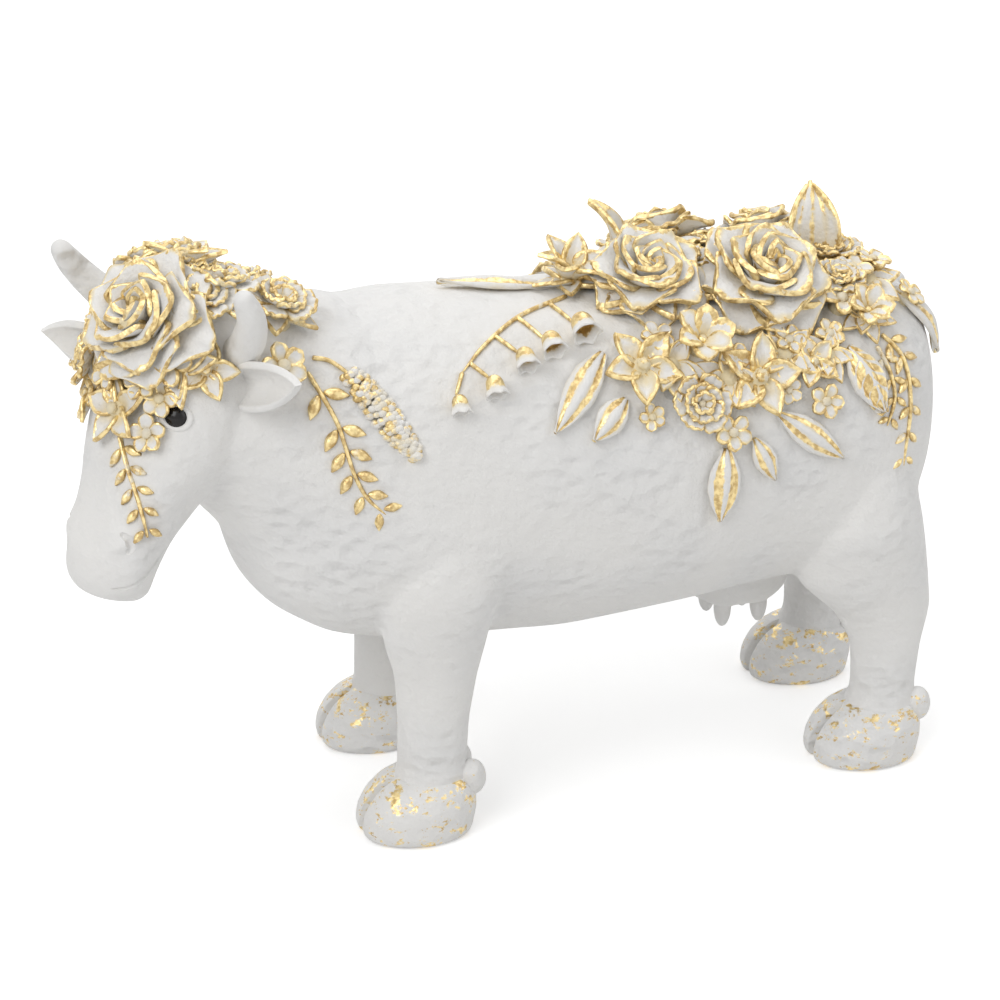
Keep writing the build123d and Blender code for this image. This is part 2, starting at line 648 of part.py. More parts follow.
def bedded(piece, mates=()):
    """An ornament cut by every earlier piece that it meets, apart from the castings that it only rests on."""
    box = piece.bounding_box()
    met = [other for name, other in pieces.items() if name not in BODY_NAMES and not apart(box, boxes[name])]
    met += [mate for mate in mates if not apart(box, mate.bounding_box())]
    return settled(piece, *met) if met else piece.solid()


def keep(name, solids):
    """Several solids as one node, with its box kept for later pieces to be tested against."""
    pieces[name] = solids[0] if len(solids) == 1 else Compound(children=solids)
    boxes[name] = pieces[name].bounding_box()


for seat, table in ((trunk_seat, TRUNK_FLOWER_SHARES), (head_seat, HEAD_FLOWER_SHARES)):
    for name, group in table.items():
        solids = []
        for kind, along, girth, lean, size, lift, spin in group:
            solids.append(bedded(flower(kind, size, lift, spin, seat(along, girth, lean)), solids))
        keep(name, solids)

# Leaves and sprigs in low relief
def seat_near(point):
    """The trunk's seat under a point beside its skin."""
    rise = point.Z - BELLY_HEIGHT - TRUNK_DEPTH / 2
    return trunk_seat((point.X - TRUNK_FRONT_X) / TRUNK_LENGTH, degrees(atan2(rise, -point.Y)))


def head_seat_near(point):
    """The head's seat under a point beside its skin."""
    along = (point - poll).dot(head_down) / HEAD_LENGTH
    spoke = point - head_point(along, 0, -HEAD_AXIS_SHARE)
    return head_seat(along, degrees(atan2(spoke.dot(head_face), spoke.dot(head_left))))


def ribbon(seats, widths, height):
    """A low ridge laid along seats on the skin: a three-cornered section across each, lofted."""
    origins = [seat.origin for seat in seats]
    with BuildPart() as ridge:
        for index, (seat, width) in enumerate(zip(seats, widths)):
            run = origins[min(index + 1, len(seats) - 1)] - origins[max(index - 1, 0)]
            across = seat.z_dir.cross(run)
            plane = Plane(origin=seat.origin, x_dir=across, z_dir=across.cross(seat.z_dir))
            crest = SEAT_GAP + height * min(1, width / STEM_WIDTH)
            with BuildSketch(plane):
                Polygon((-width / 2, SEAT_GAP), (width / 2, SEAT_GAP), (0, crest), align=None)
        loft(ruled=True)
    return ridge.part


def leaf(base, tip, width, near):
    """A pointed leaf from one seat to another, bent over the skin."""
    steps = [step / (LEAF_STEPS - 1) for step in range(LEAF_STEPS)]
    seats = [near(base.origin * (1 - step) + tip.origin * step) for step in steps]
    widths = [LEAF_EDGE + (width - LEAF_EDGE) * sin(pi * step**LEAF_TAPER_SHARE) for step in steps]
    return ribbon(seats, widths, LEAF_HEIGHT)


def sprig(points, count, size, seat, near):
    """A stem along points on the skin, with pointed leaflets to each side."""
    seats = [seat(*point) for point in points]
    stem = Spline(*[place.origin for place in seats], mode=Mode.PRIVATE)
    steps = [step / (2 * count) for step in range(2 * count + 1)]
    solids = [ribbon([near(stem @ step) for step in steps], [STEM_WIDTH] * len(steps), STEM_HEIGHT)]
    for step in steps[1::2]:
        place = near(stem @ step)
        for side in (-1, 1):
            turned = (stem % step).rotate(Axis((0, 0, 0), place.z_dir), side * LEAFLET_SPREAD)
            base = near(place.origin + turned * STEM_WIDTH)
            tip = near(place.origin + turned * (STEM_WIDTH + size * LEAFLET_LENGTH))
            solids.append(leaflet(base, tip, size * LEAFLET_WIDTH))
    return solids


def leaflet(base, tip, width):
    """A small flat-bottomed leaf with a ridge, pointed at both ends."""
    run = tip.origin - base.origin
    plane = Plane(origin=base.origin, x_dir=run, z_dir=base.z_dir + tip.z_dir)
    reach = run.length
    with BuildPart() as blade:
        for along, share in ((0, LEAF_EDGE), (reach * LEAF_MIDDLE_SHARE, width), (reach, LEAF_EDGE)):
            section = Plane(origin=plane.from_local_coords((along, 0, 0)), x_dir=plane.y_dir, z_dir=plane.x_dir)
            with BuildSketch(section):
                Polygon((-share / 2, SEAT_GAP), (share / 2, SEAT_GAP), (0, SEAT_GAP + LEAFLET_HEIGHT), align=None)
        loft(ruled=True)
    return blade.part


for name, leaves in TRUNK_LEAF_SHARES.items():
    solids = []
    for base, tip, size in leaves:
        blade = leaf(trunk_seat(*base), trunk_seat(*tip), size * BLADE_WIDTH, seat_near)
        solids.append(bedded(blade, solids))
    keep(name, solids)
for name, (points, count, size) in TRUNK_SPRIG_SHARES.items():
    keep(name, [bedded(solid) for solid in sprig(points, count, size, trunk_seat, seat_near)])
points, count, size = FACE_SPRIG_SHARES
keep("face_sprig", [bedded(solid) for solid in sprig(points, count, size, head_seat, head_seat_near)])


# A spray of bells and a beaded flower spike
bell_stem = Spline(*[trunk_seat(*point).origin for point in BELL_STEM_SHARES], mode=Mode.PRIVATE)
bell_steps = [step / (2 * len(BELL_SHARES)) for step in range(2 * len(BELL_SHARES) + 1)]
bell_seats = [seat_near(bell_stem @ step) for step in bell_steps]
solids = [bedded(ribbon(bell_seats, [STEM_WIDTH] * len(bell_seats), STEM_HEIGHT))]
for along, girth, size in BELL_SHARES:
    place = trunk_seat(along, girth)
    with BuildPart() as bell:
        for share, radius in BELL_PROFILE_SHARES:
            section = Plane(origin=(0, share * BELL_LENGTH, BELL_RADIUS), x_dir=(1, 0, 0), z_dir=(0, 1, 0))
            with BuildSketch(section):
                RegularPolygon(radius * BELL_RADIUS, BELL_SIDES)
        loft(ruled=True)
    solids.append(bedded(scale(bell.part, by=size, mode=Mode.PRIVATE).moved(place.location), solids))
keep("bell_spray", solids)

spike = Spline(*[trunk_seat(*point).origin for point in SPIKE_SHARES], mode=Mode.PRIVATE)
spike_stem = Spline(*[trunk_seat(*point).origin for point in SPIKE_STEM_SHARES], mode=Mode.PRIVATE)
stem_seats = [seat_near(spike_stem @ (step / SPIKE_BEADS)) for step in range(SPIKE_BEADS + 1)]
solids = [bedded(ribbon(stem_seats, [STEM_WIDTH] * len(stem_seats), STEM_HEIGHT))]
for bead in range(SPIKE_BEADS):
    place = seat_near(spike @ ((bead + 1) / SPIKE_BEADS)).offset(SPIKE_SEAT_GAP)
    with BuildPart() as knot:
        with BuildSketch(place):
            with PolarLocations(SPIKE_BEAD_RADIUS / 2, 3, start_angle=bead * SPIKE_TURN):
                RegularPolygon(SPIKE_BEAD_RADIUS * (1 - bead / (2 * SPIKE_BEADS)), SPIKE_SIDES)
        extrude(amount=LEAF_HEIGHT, taper=SPIKE_TAPER)
    solids.append(bedded(knot.part, solids))
keep("neck_spike", solids)

# Leaves that stand up and curl over
for name, (along, girth, spin) in CURL_SHARES.items():
    back_edge = [(out * CURL_HEIGHT, up * CURL_HEIGHT) for out, up in CURL_PROFILE_SHARES]
    front_edge = [(out + CURL_THICKNESS, up) for out, up in reversed(back_edge)]
    with BuildPart() as curl:
        with BuildSketch(Plane.XZ):
            Polygon(*back_edge, *front_edge, align=None)
        extrude(amount=CURL_WIDTH / 2, both=True)
        with BuildSketch(Plane.YZ):
            Polygon(*[(across * CURL_WIDTH, up * CURL_HEIGHT) for across, up in CURL_OUTLINE_SHARES], align=None)
        extrude(amount=CURL_HEIGHT, mode=Mode.INTERSECT)
    place = trunk_seat(along, girth).offset(SEAT_GAP).location * Location((0, 0, 0), (0, 0, spin))
    keep(name, [bedded(curl.part.moved(place))])

# Everything moves together so that the origin is under the middle of the object's box.
box = Compound(children=[Compound([piece]) for piece in pieces.values()]).bounding_box()
centring = Location((-box.center().X, -box.center().Y, -box.min.Z))
print("moved by", centring.position)

os.makedirs("parts", exist_ok=True)
for name, piece in pieces.items():
    placed = piece.moved(centring)
    placed.label = name
    export_step(placed, f"parts/{name}.step")
    print(name, len(placed.solids()), round(placed.volume))
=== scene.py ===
"""Looks of a white cow ornament: a smooth cast body, moulded flowers and leaves, and rubbed gold leaf.

Lengths are metres. The cow stands along X with its head towards -X and its left side towards -Y.
Stations along the trunk and the head are shares of their length.
Girths are degrees: 0 is left, 90 is the top.
"""

import math
import random

import bpy
import numpy as np
from mathutils import Matrix, Vector
from mathutils.bvhtree import BVHTree


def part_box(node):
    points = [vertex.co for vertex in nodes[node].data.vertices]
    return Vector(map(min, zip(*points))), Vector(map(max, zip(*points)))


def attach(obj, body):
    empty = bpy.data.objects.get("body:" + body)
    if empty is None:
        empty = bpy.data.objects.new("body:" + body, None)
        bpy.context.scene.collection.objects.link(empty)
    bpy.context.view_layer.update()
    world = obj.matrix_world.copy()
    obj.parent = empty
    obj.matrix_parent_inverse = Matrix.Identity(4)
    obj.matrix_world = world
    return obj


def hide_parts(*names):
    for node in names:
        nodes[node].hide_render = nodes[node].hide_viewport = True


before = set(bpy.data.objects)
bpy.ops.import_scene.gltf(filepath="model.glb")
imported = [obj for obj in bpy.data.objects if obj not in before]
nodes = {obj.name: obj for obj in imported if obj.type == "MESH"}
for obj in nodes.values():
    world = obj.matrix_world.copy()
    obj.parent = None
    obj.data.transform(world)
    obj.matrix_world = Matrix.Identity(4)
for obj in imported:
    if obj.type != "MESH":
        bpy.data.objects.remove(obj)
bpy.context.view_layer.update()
bpy.ops.object.select_all(action="DESELECT")

# Sizes of the castings that the flowers are placed on
TRUNK_LENGTH = 0.216
TRUNK_DEPTH = 0.104
POLL_AHEAD = 0.017
POLL_SWING = 0.013
POLL_HEIGHT = 0.169
HEAD_LENGTH = 0.089
HEAD_WIDTH = 0.050
HEAD_DEPTH = 0.046
HEAD_YAW = math.radians(29)
HEAD_PITCH = math.radians(65)
HEAD_AXIS_SHARE = 0.45

trunk_low, trunk_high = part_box("trunk")
trunk_front = Vector((trunk_high.x - TRUNK_LENGTH, (trunk_low.y + trunk_high.y) / 2, trunk_low.z))
trunk_middle = trunk_low.z + TRUNK_DEPTH / 2
UP = Vector((0, 0, 1))
ahead = Vector((-math.cos(HEAD_YAW), -math.sin(HEAD_YAW), 0))
head_left = Vector((math.sin(HEAD_YAW), -math.cos(HEAD_YAW), 0))
head_down = ahead * math.cos(HEAD_PITCH) - UP * math.sin(HEAD_PITCH)
head_face = ahead * math.sin(HEAD_PITCH) + UP * math.cos(HEAD_PITCH)
poll = Vector((trunk_front.x - POLL_AHEAD, trunk_front.y - POLL_SWING, POLL_HEIGHT))


# Hand tools
def hold(piece):
    """Selects one piece alone and makes it active."""
    bpy.ops.object.select_all(action="DESELECT")
    piece.select_set(True)
    bpy.context.view_layer.objects.active = piece


def worked(piece, *steps):
    """Puts modifiers on a piece, each a kind with its settings, and applies them in turn."""
    hold(piece)
    for kind, settings in steps:
        modifier = piece.modifiers.new(kind.lower(), kind)
        for name, value in settings.items():
            setattr(modifier, name, value)
        bpy.ops.object.modifier_apply(modifier=modifier.name)
    return piece


def rounding(levels=1):
    """The step that rounds a piece by subdividing it."""
    return "SUBSURF", {"levels": levels, "render_levels": levels}


def thickened(piece, wall, offset=0, levels=1):
    """Gives a sheet its wall, centred on it or, at an offset of -1, below it, and rounds it."""
    return worked(piece, ("SOLIDIFY", {"thickness": wall, "offset": offset}), rounding(levels))


def reskinned(piece, voxel, rounds):
    """Rebuilds a piece's skin from voxels and wears it smooth."""
    worked(piece, ("REMESH", {"mode": "VOXEL", "voxel_size": voxel}))
    return worked(piece, ("SMOOTH", {"factor": 0.5, "iterations": rounds}))


def merged(piece, gap, outward=False):
    """Merges a piece's points that lie closer than a gap, and turns its faces outwards where asked."""
    hold(piece)
    bpy.ops.object.mode_set(mode="EDIT")
    bpy.ops.mesh.select_all(action="SELECT")
    bpy.ops.mesh.remove_doubles(threshold=gap)
    if outward:
        bpy.ops.mesh.normals_make_consistent(inside=False)
    bpy.ops.object.mode_set(mode="OBJECT")
    return piece


def joined(pieces, name):
    """Several pieces made one."""
    hold(pieces[0])
    for piece in pieces:
        piece.select_set(True)
    if len(pieces) > 1:
        bpy.ops.object.join()
    pieces[0].name = name
    pieces[0].data.name = name
    return pieces[0]


def copied(piece, place):
    """A copy of a modelled piece with its own mesh, moved to its place."""
    mesh = piece.data.copy()
    mesh.transform(place)
    twin = bpy.data.objects.new(piece.name, mesh)
    bpy.context.scene.collection.objects.link(twin)
    return twin


def points_of(piece):
    """The places of a piece's points."""
    places = np.empty(len(piece.data.vertices) * 3, np.float32)
    piece.data.vertices.foreach_get("co", places)
    return places.reshape(-1, 3).astype(float)


def set_points(piece, places):
    """Moves a piece's points."""
    piece.data.vertices.foreach_set("co", np.asarray(places, np.float32).ravel())
    piece.data.update()


def marked(piece, **values):
    """Stores values on a piece's points for its finish to read. A single number goes on all of them."""
    for name, numbers in values.items():
        mark = piece.data.attributes.get(name) or piece.data.attributes.new(name, "FLOAT", "POINT")
        mark.data.foreach_set("value", (np.zeros(len(mark.data)) + numbers).astype(np.float32))
    return piece


def values_of(piece, name):
    """The values that a piece's points carry under a name."""
    values = np.empty(len(piece.data.vertices), np.float32)
    piece.data.attributes[name].data.foreach_get("value", values)
    return values


def smooth_faces(piece):
    """Shades a piece smoothly."""
    hold(piece)
    bpy.ops.object.shade_smooth()
    return piece


def dressed(piece, finish, slot, *replaced):
    """Gives a finished piece its material and its body, and hides the solids that it stands for."""
    piece.data.materials.clear()
    piece.data.materials.append(finish)
    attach(piece, "root")
    if replaced:
        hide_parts(*replaced)
    return piece


def sheet(along_steps, across_steps):
    """A flat grid, with its points' shares along it, 0 to 1, and across it, -1 to 1."""
    bpy.ops.mesh.primitive_grid_add(x_subdivisions=along_steps, y_subdivisions=across_steps, size=2)
    piece = bpy.context.active_object
    places = points_of(piece)
    return piece, (places[:, 0] + 1) / 2, places[:, 1]


SEAM_GAP = 1e-5


def wrapped(steps, form):
    """A grid bent round on itself and closed. Its form gives places from shares along it and turns round."""
    piece, along, across = sheet(*steps)
    set_points(piece, form(along, across * math.pi))
    marked(piece, along=along)
    return merged(piece, SEAM_GAP, outward=True)


# Node tools
def new_finish(name):
    """A new material with its tree and its shader."""
    finish = bpy.data.materials.new(name)
    finish.use_nodes = True
    tree = finish.node_tree
    return finish, tree, tree.nodes["Principled BSDF"]


def added(tree, kind, links=(), **settings):
    """A node with its settings. Links name an input socket and the output that feeds it."""
    node = tree.nodes.new(kind)
    for name, value in settings.items():
        if hasattr(node, name):
            setattr(node, name, value)
        else:
            node.inputs[name.replace("_", " ")].default_value = value
    for socket, output in links:
        tree.links.new(output, node.inputs[socket])
    return node


def ramp(tree, value, low, high):
    """A value stretched so that low is 0 and high is 1, with soft ends."""
    node = added(tree, "ShaderNodeMapRange", [("Value", value)], From_Min=low, From_Max=high)
    node.interpolation_type = "SMOOTHSTEP"
    return node.outputs["Result"]


def summed(tree, operation, first, second):
    """Two values, or a value and a number, put together."""
    node = tree.nodes.new("ShaderNodeMath")
    node.operation = operation
    for socket, value in zip(node.inputs, (first, second)):
        if isinstance(value, (int, float)):
            socket.default_value = value
        else:
            tree.links.new(value, socket)
    return node.outputs[0]


def mixed(tree, factor, first, second):
    """Two colours mixed by a factor. Each is a colour or another node's output."""
    node = tree.nodes.new("ShaderNodeMix")
    node.data_type = "RGBA"
    for socket, value in ((node.inputs[0], factor), (node.inputs[6], first), (node.inputs[7], second)):
        if isinstance(value, (int, float, tuple)):
            socket.default_value = value
        else:
            tree.links.new(value, socket)
    return node.outputs[2]


def object_place(tree):
    """Places on a piece, in metres."""
    return added(tree, "ShaderNodeTexCoord").outputs["Object"]


def noise(tree, place, links=(), **settings):
    """A noise pattern."""
    return added(tree, "ShaderNodeTexNoise", [("Vector", place), *links], **settings).outputs["Fac"]


def seen_share(tree):
    """1 for what the camera sees, straight or in a reflection, and 0 for what only lights the object."""
    ray = added(tree, "ShaderNodeLightPath").outputs
    return summed(tree, "MAXIMUM", ray["Is Camera Ray"], ray["Is Glossy Ray"])


# Camera, light and floor
CAMERA_AZIMUTH = math.radians(-20)
CAMERA_RISE = math.radians(22)
CAMERA_DISTANCE = 0.9
CAMERA_LENS = 111.8
CAMERA_SHIFT = 0.005
LOOK_AHEAD = 0.080
LOOK_LEFT = 0.0135
LOOK_HEIGHT = 0.090


def set_camera():
    """The camera at the photograph's viewing angle."""
    target = Vector((trunk_front.x + LOOK_AHEAD, trunk_front.y - LOOK_LEFT, LOOK_HEIGHT))
    back = Vector((
        math.sin(CAMERA_AZIMUTH) * math.cos(CAMERA_RISE),
        -math.cos(CAMERA_AZIMUTH) * math.cos(CAMERA_RISE),
        math.sin(CAMERA_RISE),
    ))
    turn = back.to_track_quat("Z", "Y").to_euler()
    bpy.ops.object.camera_add(location=target + back * CAMERA_DISTANCE, rotation=turn)
    camera = bpy.context.active_object
    camera.data.lens = CAMERA_LENS
    camera.data.shift_y = CAMERA_SHIFT
    bpy.context.scene.camera = camera


# Soft boxes: place, size and power of each
LAMPS = {
    "key_softbox": ((-1.15, -0.90, 1.20), 1.1, 14.5),
    "fill_softbox": ((1.15, -0.95, 0.75), 1.2, 5.0),
    "top_softbox": ((0.10, 0.25, 1.50), 1.3, 8.5),
    "back_softbox": ((0.20, 1.30, 0.80), 1.2, 4.0),
}
WORLD_LIGHT = 0.32


def set_light():
    """Soft boxes round the object and a pale world, which the camera sees as white."""
    for name, (place, size, power) in LAMPS.items():
        away = Vector(place) - Vector((0, 0, LOOK_HEIGHT))
        turn = away.to_track_quat("Z", "Y").to_euler()
        bpy.ops.object.light_add(type="AREA", location=place, rotation=turn)
        lamp = bpy.context.active_object
        lamp.name = name
        lamp.data.size = size
        lamp.data.energy = power
    world = bpy.data.worlds.new("studio")
    bpy.context.scene.world = world
    world.use_nodes = True
    tree = world.node_tree
    strength = added(tree, "ShaderNodeMix", [("Factor", seen_share(tree))], A=WORLD_LIGHT, B=1)
    background = tree.nodes["Background"]
    background.inputs["Color"].default_value = (1, 1, 1, 1)
    tree.links.new(strength.outputs["Result"], background.inputs["Strength"])


# The floor's own light, near the object and far from it, and where it fades from one to the other
FLOOR_SIZE = 12.0
FLOOR_COLOUR = (0.80, 0.80, 0.80, 1)
FLOOR_ROUGHNESS = 0.9
FLOOR_GLOSS = 0.1
FLOOR_LIFT = 0.42
FAR_FLOOR_LIFT = 0.85
FADE_START = 0.5
FADE_END = 2.2


def lay_floor():
    """A pale floor that keeps the shadow. The camera sees it lifted towards white."""
    bpy.ops.mesh.primitive_plane_add(size=FLOOR_SIZE)
    floor = bpy.context.active_object
    floor.name = "studio_floor"
    finish, tree, base = new_finish("pale_floor")
    base.inputs["Base Color"].default_value = FLOOR_COLOUR
    base.inputs["Roughness"].default_value = FLOOR_ROUGHNESS
    base.inputs["Specular IOR Level"].default_value = FLOOR_GLOSS
    base.inputs["Emission Color"].default_value = (1, 1, 1, 1)
    far = added(tree, "ShaderNodeVectorMath", [(0, object_place(tree))], operation="LENGTH").outputs["Value"]
    fade = added(tree, "ShaderNodeMapRange", [("Value", far)], From_Min=FADE_START, From_Max=FADE_END)
    fade.inputs["To Min"].default_value = FLOOR_LIFT
    fade.inputs["To Max"].default_value = FAR_FLOOR_LIFT
    lift = summed(tree, "MULTIPLY", seen_share(tree), fade.outputs["Result"])
    tree.links.new(lift, base.inputs["Emission Strength"])
    floor.data.materials.append(finish)


set_camera()
set_light()
lay_floor()
bpy.context.scene.view_settings.view_transform = "Standard"

# Finishes
WHITE_PAINT = (0.80, 0.79, 0.77, 1)
CREAM_WASH = (0.78, 0.66, 0.40, 1)
GOLD_LEAF = (0.86, 0.69, 0.35, 1)
DARK_GOLD = (0.50, 0.35, 0.15, 1)
SHADED_PAINT = (0.77, 0.765, 0.755, 1)
EYE_BLACK = (0.006, 0.006, 0.007, 1)
EYE_BROWN = (0.016, 0.012, 0.010, 1)
PAINT_ROUGHNESS = 0.62
PETAL_ROUGHNESS = 0.58
EYE_ROUGHNESS = 0.18
EYE_GLOSS = 0.3
METAL_SHARE = 0.7
GOLD_GLOSS = 0.2
EDGE_WASH = 1.3
FINE_SHARE = 0.6
DENT_DEPTH = 0.0013
GRAIN_DEPTH = 0.0004
DENT_STRETCH = (1, 1, 1.6)
PATCH_SHARE = 0.3


def gold_leaf_group():
    """Rubbed gold leaf: from a mask of where it lies, its broken coverage, its colour and its roughness."""
    tree = bpy.data.node_groups.new("rubbed_gold", "ShaderNodeTree")
    tree.interface.new_socket("Place", in_out="INPUT", socket_type="NodeSocketVector")
    for name in ("Where", "Scale", "Wear"):
        tree.interface.new_socket(name, in_out="INPUT", socket_type="NodeSocketFloat")
    for name, kind in (("Coverage", "Float"), ("Colour", "Color"), ("Roughness", "Float")):
        tree.interface.new_socket(name, in_out="OUTPUT", socket_type=f"NodeSocket{kind}")
    given = tree.nodes.new("NodeGroupInput").outputs
    result = tree.nodes.new("NodeGroupOutput").inputs
    place = given["Place"]
    flecks = noise(tree, place, [("Scale", given["Scale"])], Detail=6.0, Roughness=0.68)
    wide = summed(tree, "MULTIPLY", given["Scale"], PATCH_SHARE)
    patches = noise(tree, place, [("Scale", wide)], Detail=2.0)
    spread = summed(tree, "SUBTRACT", summed(tree, "ADD", flecks, patches), 1.0)
    broken = summed(tree, "MULTIPLY", spread, given["Wear"])
    tree.links.new(ramp(tree, summed(tree, "ADD", given["Where"], broken), 0.46, 0.60), result["Coverage"])
    tone = noise(tree, place, Scale=520.0, Detail=3.0)
    tree.links.new(mixed(tree, ramp(tree, tone, 0.34, 0.62), DARK_GOLD, GOLD_LEAF), result["Colour"])
    rough = added(tree, "ShaderNodeMapRange", [("Value", tone)], To_Min=0.42, To_Max=0.26)
    tree.links.new(rough.outputs["Result"], result["Roughness"])
    return tree


gold_group = gold_leaf_group()


def gold_on(tree, place, where, scale, wear):
    """The rubbed gold group placed in a finish, with its own values."""
    group = tree.nodes.new("ShaderNodeGroup")
    group.node_tree = gold_group
    tree.links.new(place, group.inputs["Place"])
    tree.links.new(where, group.inputs["Where"])
    group.inputs["Scale"].default_value = scale
    group.inputs["Wear"].default_value = wear
    return group.outputs


def stamp(tree, name):
    """The value that a piece's points carry under a name."""
    return added(tree, "ShaderNodeAttribute", attribute_name=name).outputs["Fac"]


def bump(tree, base, height, depth):
    """Turns a height pattern into relief on the shader."""
    relief = added(tree, "ShaderNodeBump", [("Height", height)], Distance=depth)
    tree.links.new(relief.outputs["Normal"], base.inputs["Normal"])


def gilded_over(tree, base, paint, gold):
    """Lays the gold over the paint."""
    tree.links.new(mixed(tree, gold["Coverage"], paint, gold["Colour"]), base.inputs["Base Color"])
    tree.links.new(summed(tree, "MULTIPLY", gold["Coverage"], METAL_SHARE), base.inputs["Metallic"])


def cast_finish():
    """Matt white paint over a casting with fine tool marks, and gold rubbed on the hooves."""
    finish, tree, base = new_finish("white_casting")
    place = object_place(tree)
    level = added(tree, "ShaderNodeMapping", [("Vector", place)], Scale=DENT_STRETCH).outputs["Vector"]
    fine = noise(tree, place, Scale=260.0, Detail=3.0, Roughness=0.55)
    dents = added(tree, "ShaderNodeTexVoronoi", [("Vector", level)], feature="SMOOTH_F1", Scale=165.0)
    dents.inputs["Smoothness"].default_value = 0.6
    shade = noise(tree, place, Scale=28.0, Detail=2.0)
    pitted = summed(tree, "MULTIPLY", dents.outputs["Distance"], ramp(tree, shade, 0.36, 0.62))
    marks = summed(tree, "ADD", summed(tree, "MULTIPLY", fine, FINE_SHARE), pitted)
    paint = mixed(tree, ramp(tree, shade, 0.35, 0.7), WHITE_PAINT, SHADED_PAINT)
    gold = gold_on(tree, level, stamp(tree, "gilt"), 800.0, 1.5)
    gilded_over(tree, base, paint, gold)
    gloss = summed(tree, "MULTIPLY", gold["Coverage"], GOLD_GLOSS)
    tree.links.new(summed(tree, "SUBTRACT", PAINT_ROUGHNESS, gloss), base.inputs["Roughness"])
    bump(tree, base, marks, DENT_DEPTH)
    return finish


def gilded_finish(name, gold_scale, wear, wash):
    """White petals or leaves with a cream wash in the hollows and gold leaf rubbed on what stands out."""
    finish, tree, base = new_finish(name)
    place = object_place(tree)
    cloud = noise(tree, place, Scale=150.0, Detail=4.0)
    near_edge = summed(tree, "MULTIPLY", stamp(tree, "gilt"), EDGE_WASH)
    near_gold = summed(tree, "MAXIMUM", stamp(tree, "hollow"), near_edge)
    washed = summed(tree, "ADD", near_gold, summed(tree, "SUBTRACT", cloud, 0.5))
    paint = mixed(tree, summed(tree, "MULTIPLY", ramp(tree, washed, 0.3, 1.0), wash), WHITE_PAINT, CREAM_WASH)
    gold = gold_on(tree, place, stamp(tree, "gilt"), gold_scale, wear)
    gilded_over(tree, base, paint, gold)
    shares = [("Factor", gold["Coverage"]), ("B", gold["Roughness"])]
    rough = added(tree, "ShaderNodeMix", shares, A=PETAL_ROUGHNESS)
    tree.links.new(rough.outputs["Result"], base.inputs["Roughness"])
    bump(tree, base, noise(tree, place, Scale=700.0, Detail=3.0), GRAIN_DEPTH)
    return finish


def eye_finish():
    """Gloss black paint with a trace of brown."""
    finish, tree, base = new_finish("black_eye")
    tint = noise(tree, object_place(tree), Scale=300.0, Detail=2.0)
    tree.links.new(mixed(tree, tint, EYE_BLACK, EYE_BROWN), base.inputs["Base Color"])
    base.inputs["Roughness"].default_value = EYE_ROUGHNESS
    base.inputs["Specular IOR Level"].default_value = EYE_GLOSS
    return finish


white_casting = cast_finish()
gilded_petals = gilded_finish("gilded_petals", 330.0, 1.7, 0.9)
gilded_leaves = gilded_finish("gilded_leaves", 300.0, 1.0, 0.6)
black_eye = eye_finish()

# Body: the castings worn smooth and joined. Each has its rounds of smoothing.
ROUGH_VOXEL = 0.0016
SKIN_VOXEL = 0.0013
NODE_GAP = 1e-6
CASTINGS = {
    "trunk": 55,
    "head": 9,
    "front_left_leg": 9,
    "front_right_leg": 9,
    "hind_left_leg": 9,
    "hind_right_leg": 9,
    "udder": 4,
    "tail": 3,
}
JOINT_ROUNDS = 9
# The fold between the rump and each thigh: how far from the rear, from the middle and from the floor
RUMP_FOLD = (0.004, 0.022, 0.088)
RUMP_REACH = 0.022
RUMP_ROUNDS = 80
TAIL_ROOM = 0.010


def worn_copy(node, rounds):
    """A casting's surface, copied and merged, with its flats worn round."""
    mesh = nodes[node].data.copy()
    piece = bpy.data.objects.new(f"worn_{node}", mesh)
    bpy.context.scene.collection.objects.link(piece)
    return reskinned(merged(piece, NODE_GAP), ROUGH_VOXEL, rounds)


def tree_of(pieces):
    """A search tree of several pieces' surfaces."""
    corners = []
    faces = []
    for piece in pieces:
        start = len(corners)
        corners.extend(point.co.copy() for point in piece.data.vertices)
        faces.extend([start + corner for corner in face.vertices] for face in piece.data.polygons)
    return BVHTree.FromPolygons(corners, faces)


def made_body():
    """The white skin of the trunk, head, legs, udder and tail as one casting."""
    pieces = [worn_copy(node, rounds) for node, rounds in CASTINGS.items()]
    skins = tree_of(pieces[:1]), tree_of(pieces[1:2])
    body = joined(pieces, "cow_body")
    reskinned(body, SKIN_VOXEL, JOINT_ROUNDS)
    back, aside, height = RUMP_FOLD
    spots = points_of(body)
    fold = body.vertex_groups.new(name="rump_fold")
    for side in (-1, 1):
        middle = np.array((trunk_high.x - back, trunk_front.y + side * aside, height))
        near = np.exp(-((np.linalg.norm(spots - middle, axis=1) / RUMP_REACH) ** 4))
        near = near * (np.abs(spots[:, 1] - trunk_front.y) > TAIL_ROOM)
        for index in np.nonzero(near > 0.02)[0]:
            fold.add([int(index)], float(near[index]), "REPLACE")
    worked(body, ("SMOOTH", {"factor": 0.5, "iterations": RUMP_ROUNDS, "vertex_group": "rump_fold"}))
    body.vertex_groups.clear()
    return body, *skins


body, trunk_skin, head_skin = made_body()
dressed(body, white_casting, "white_body", *CASTINGS)

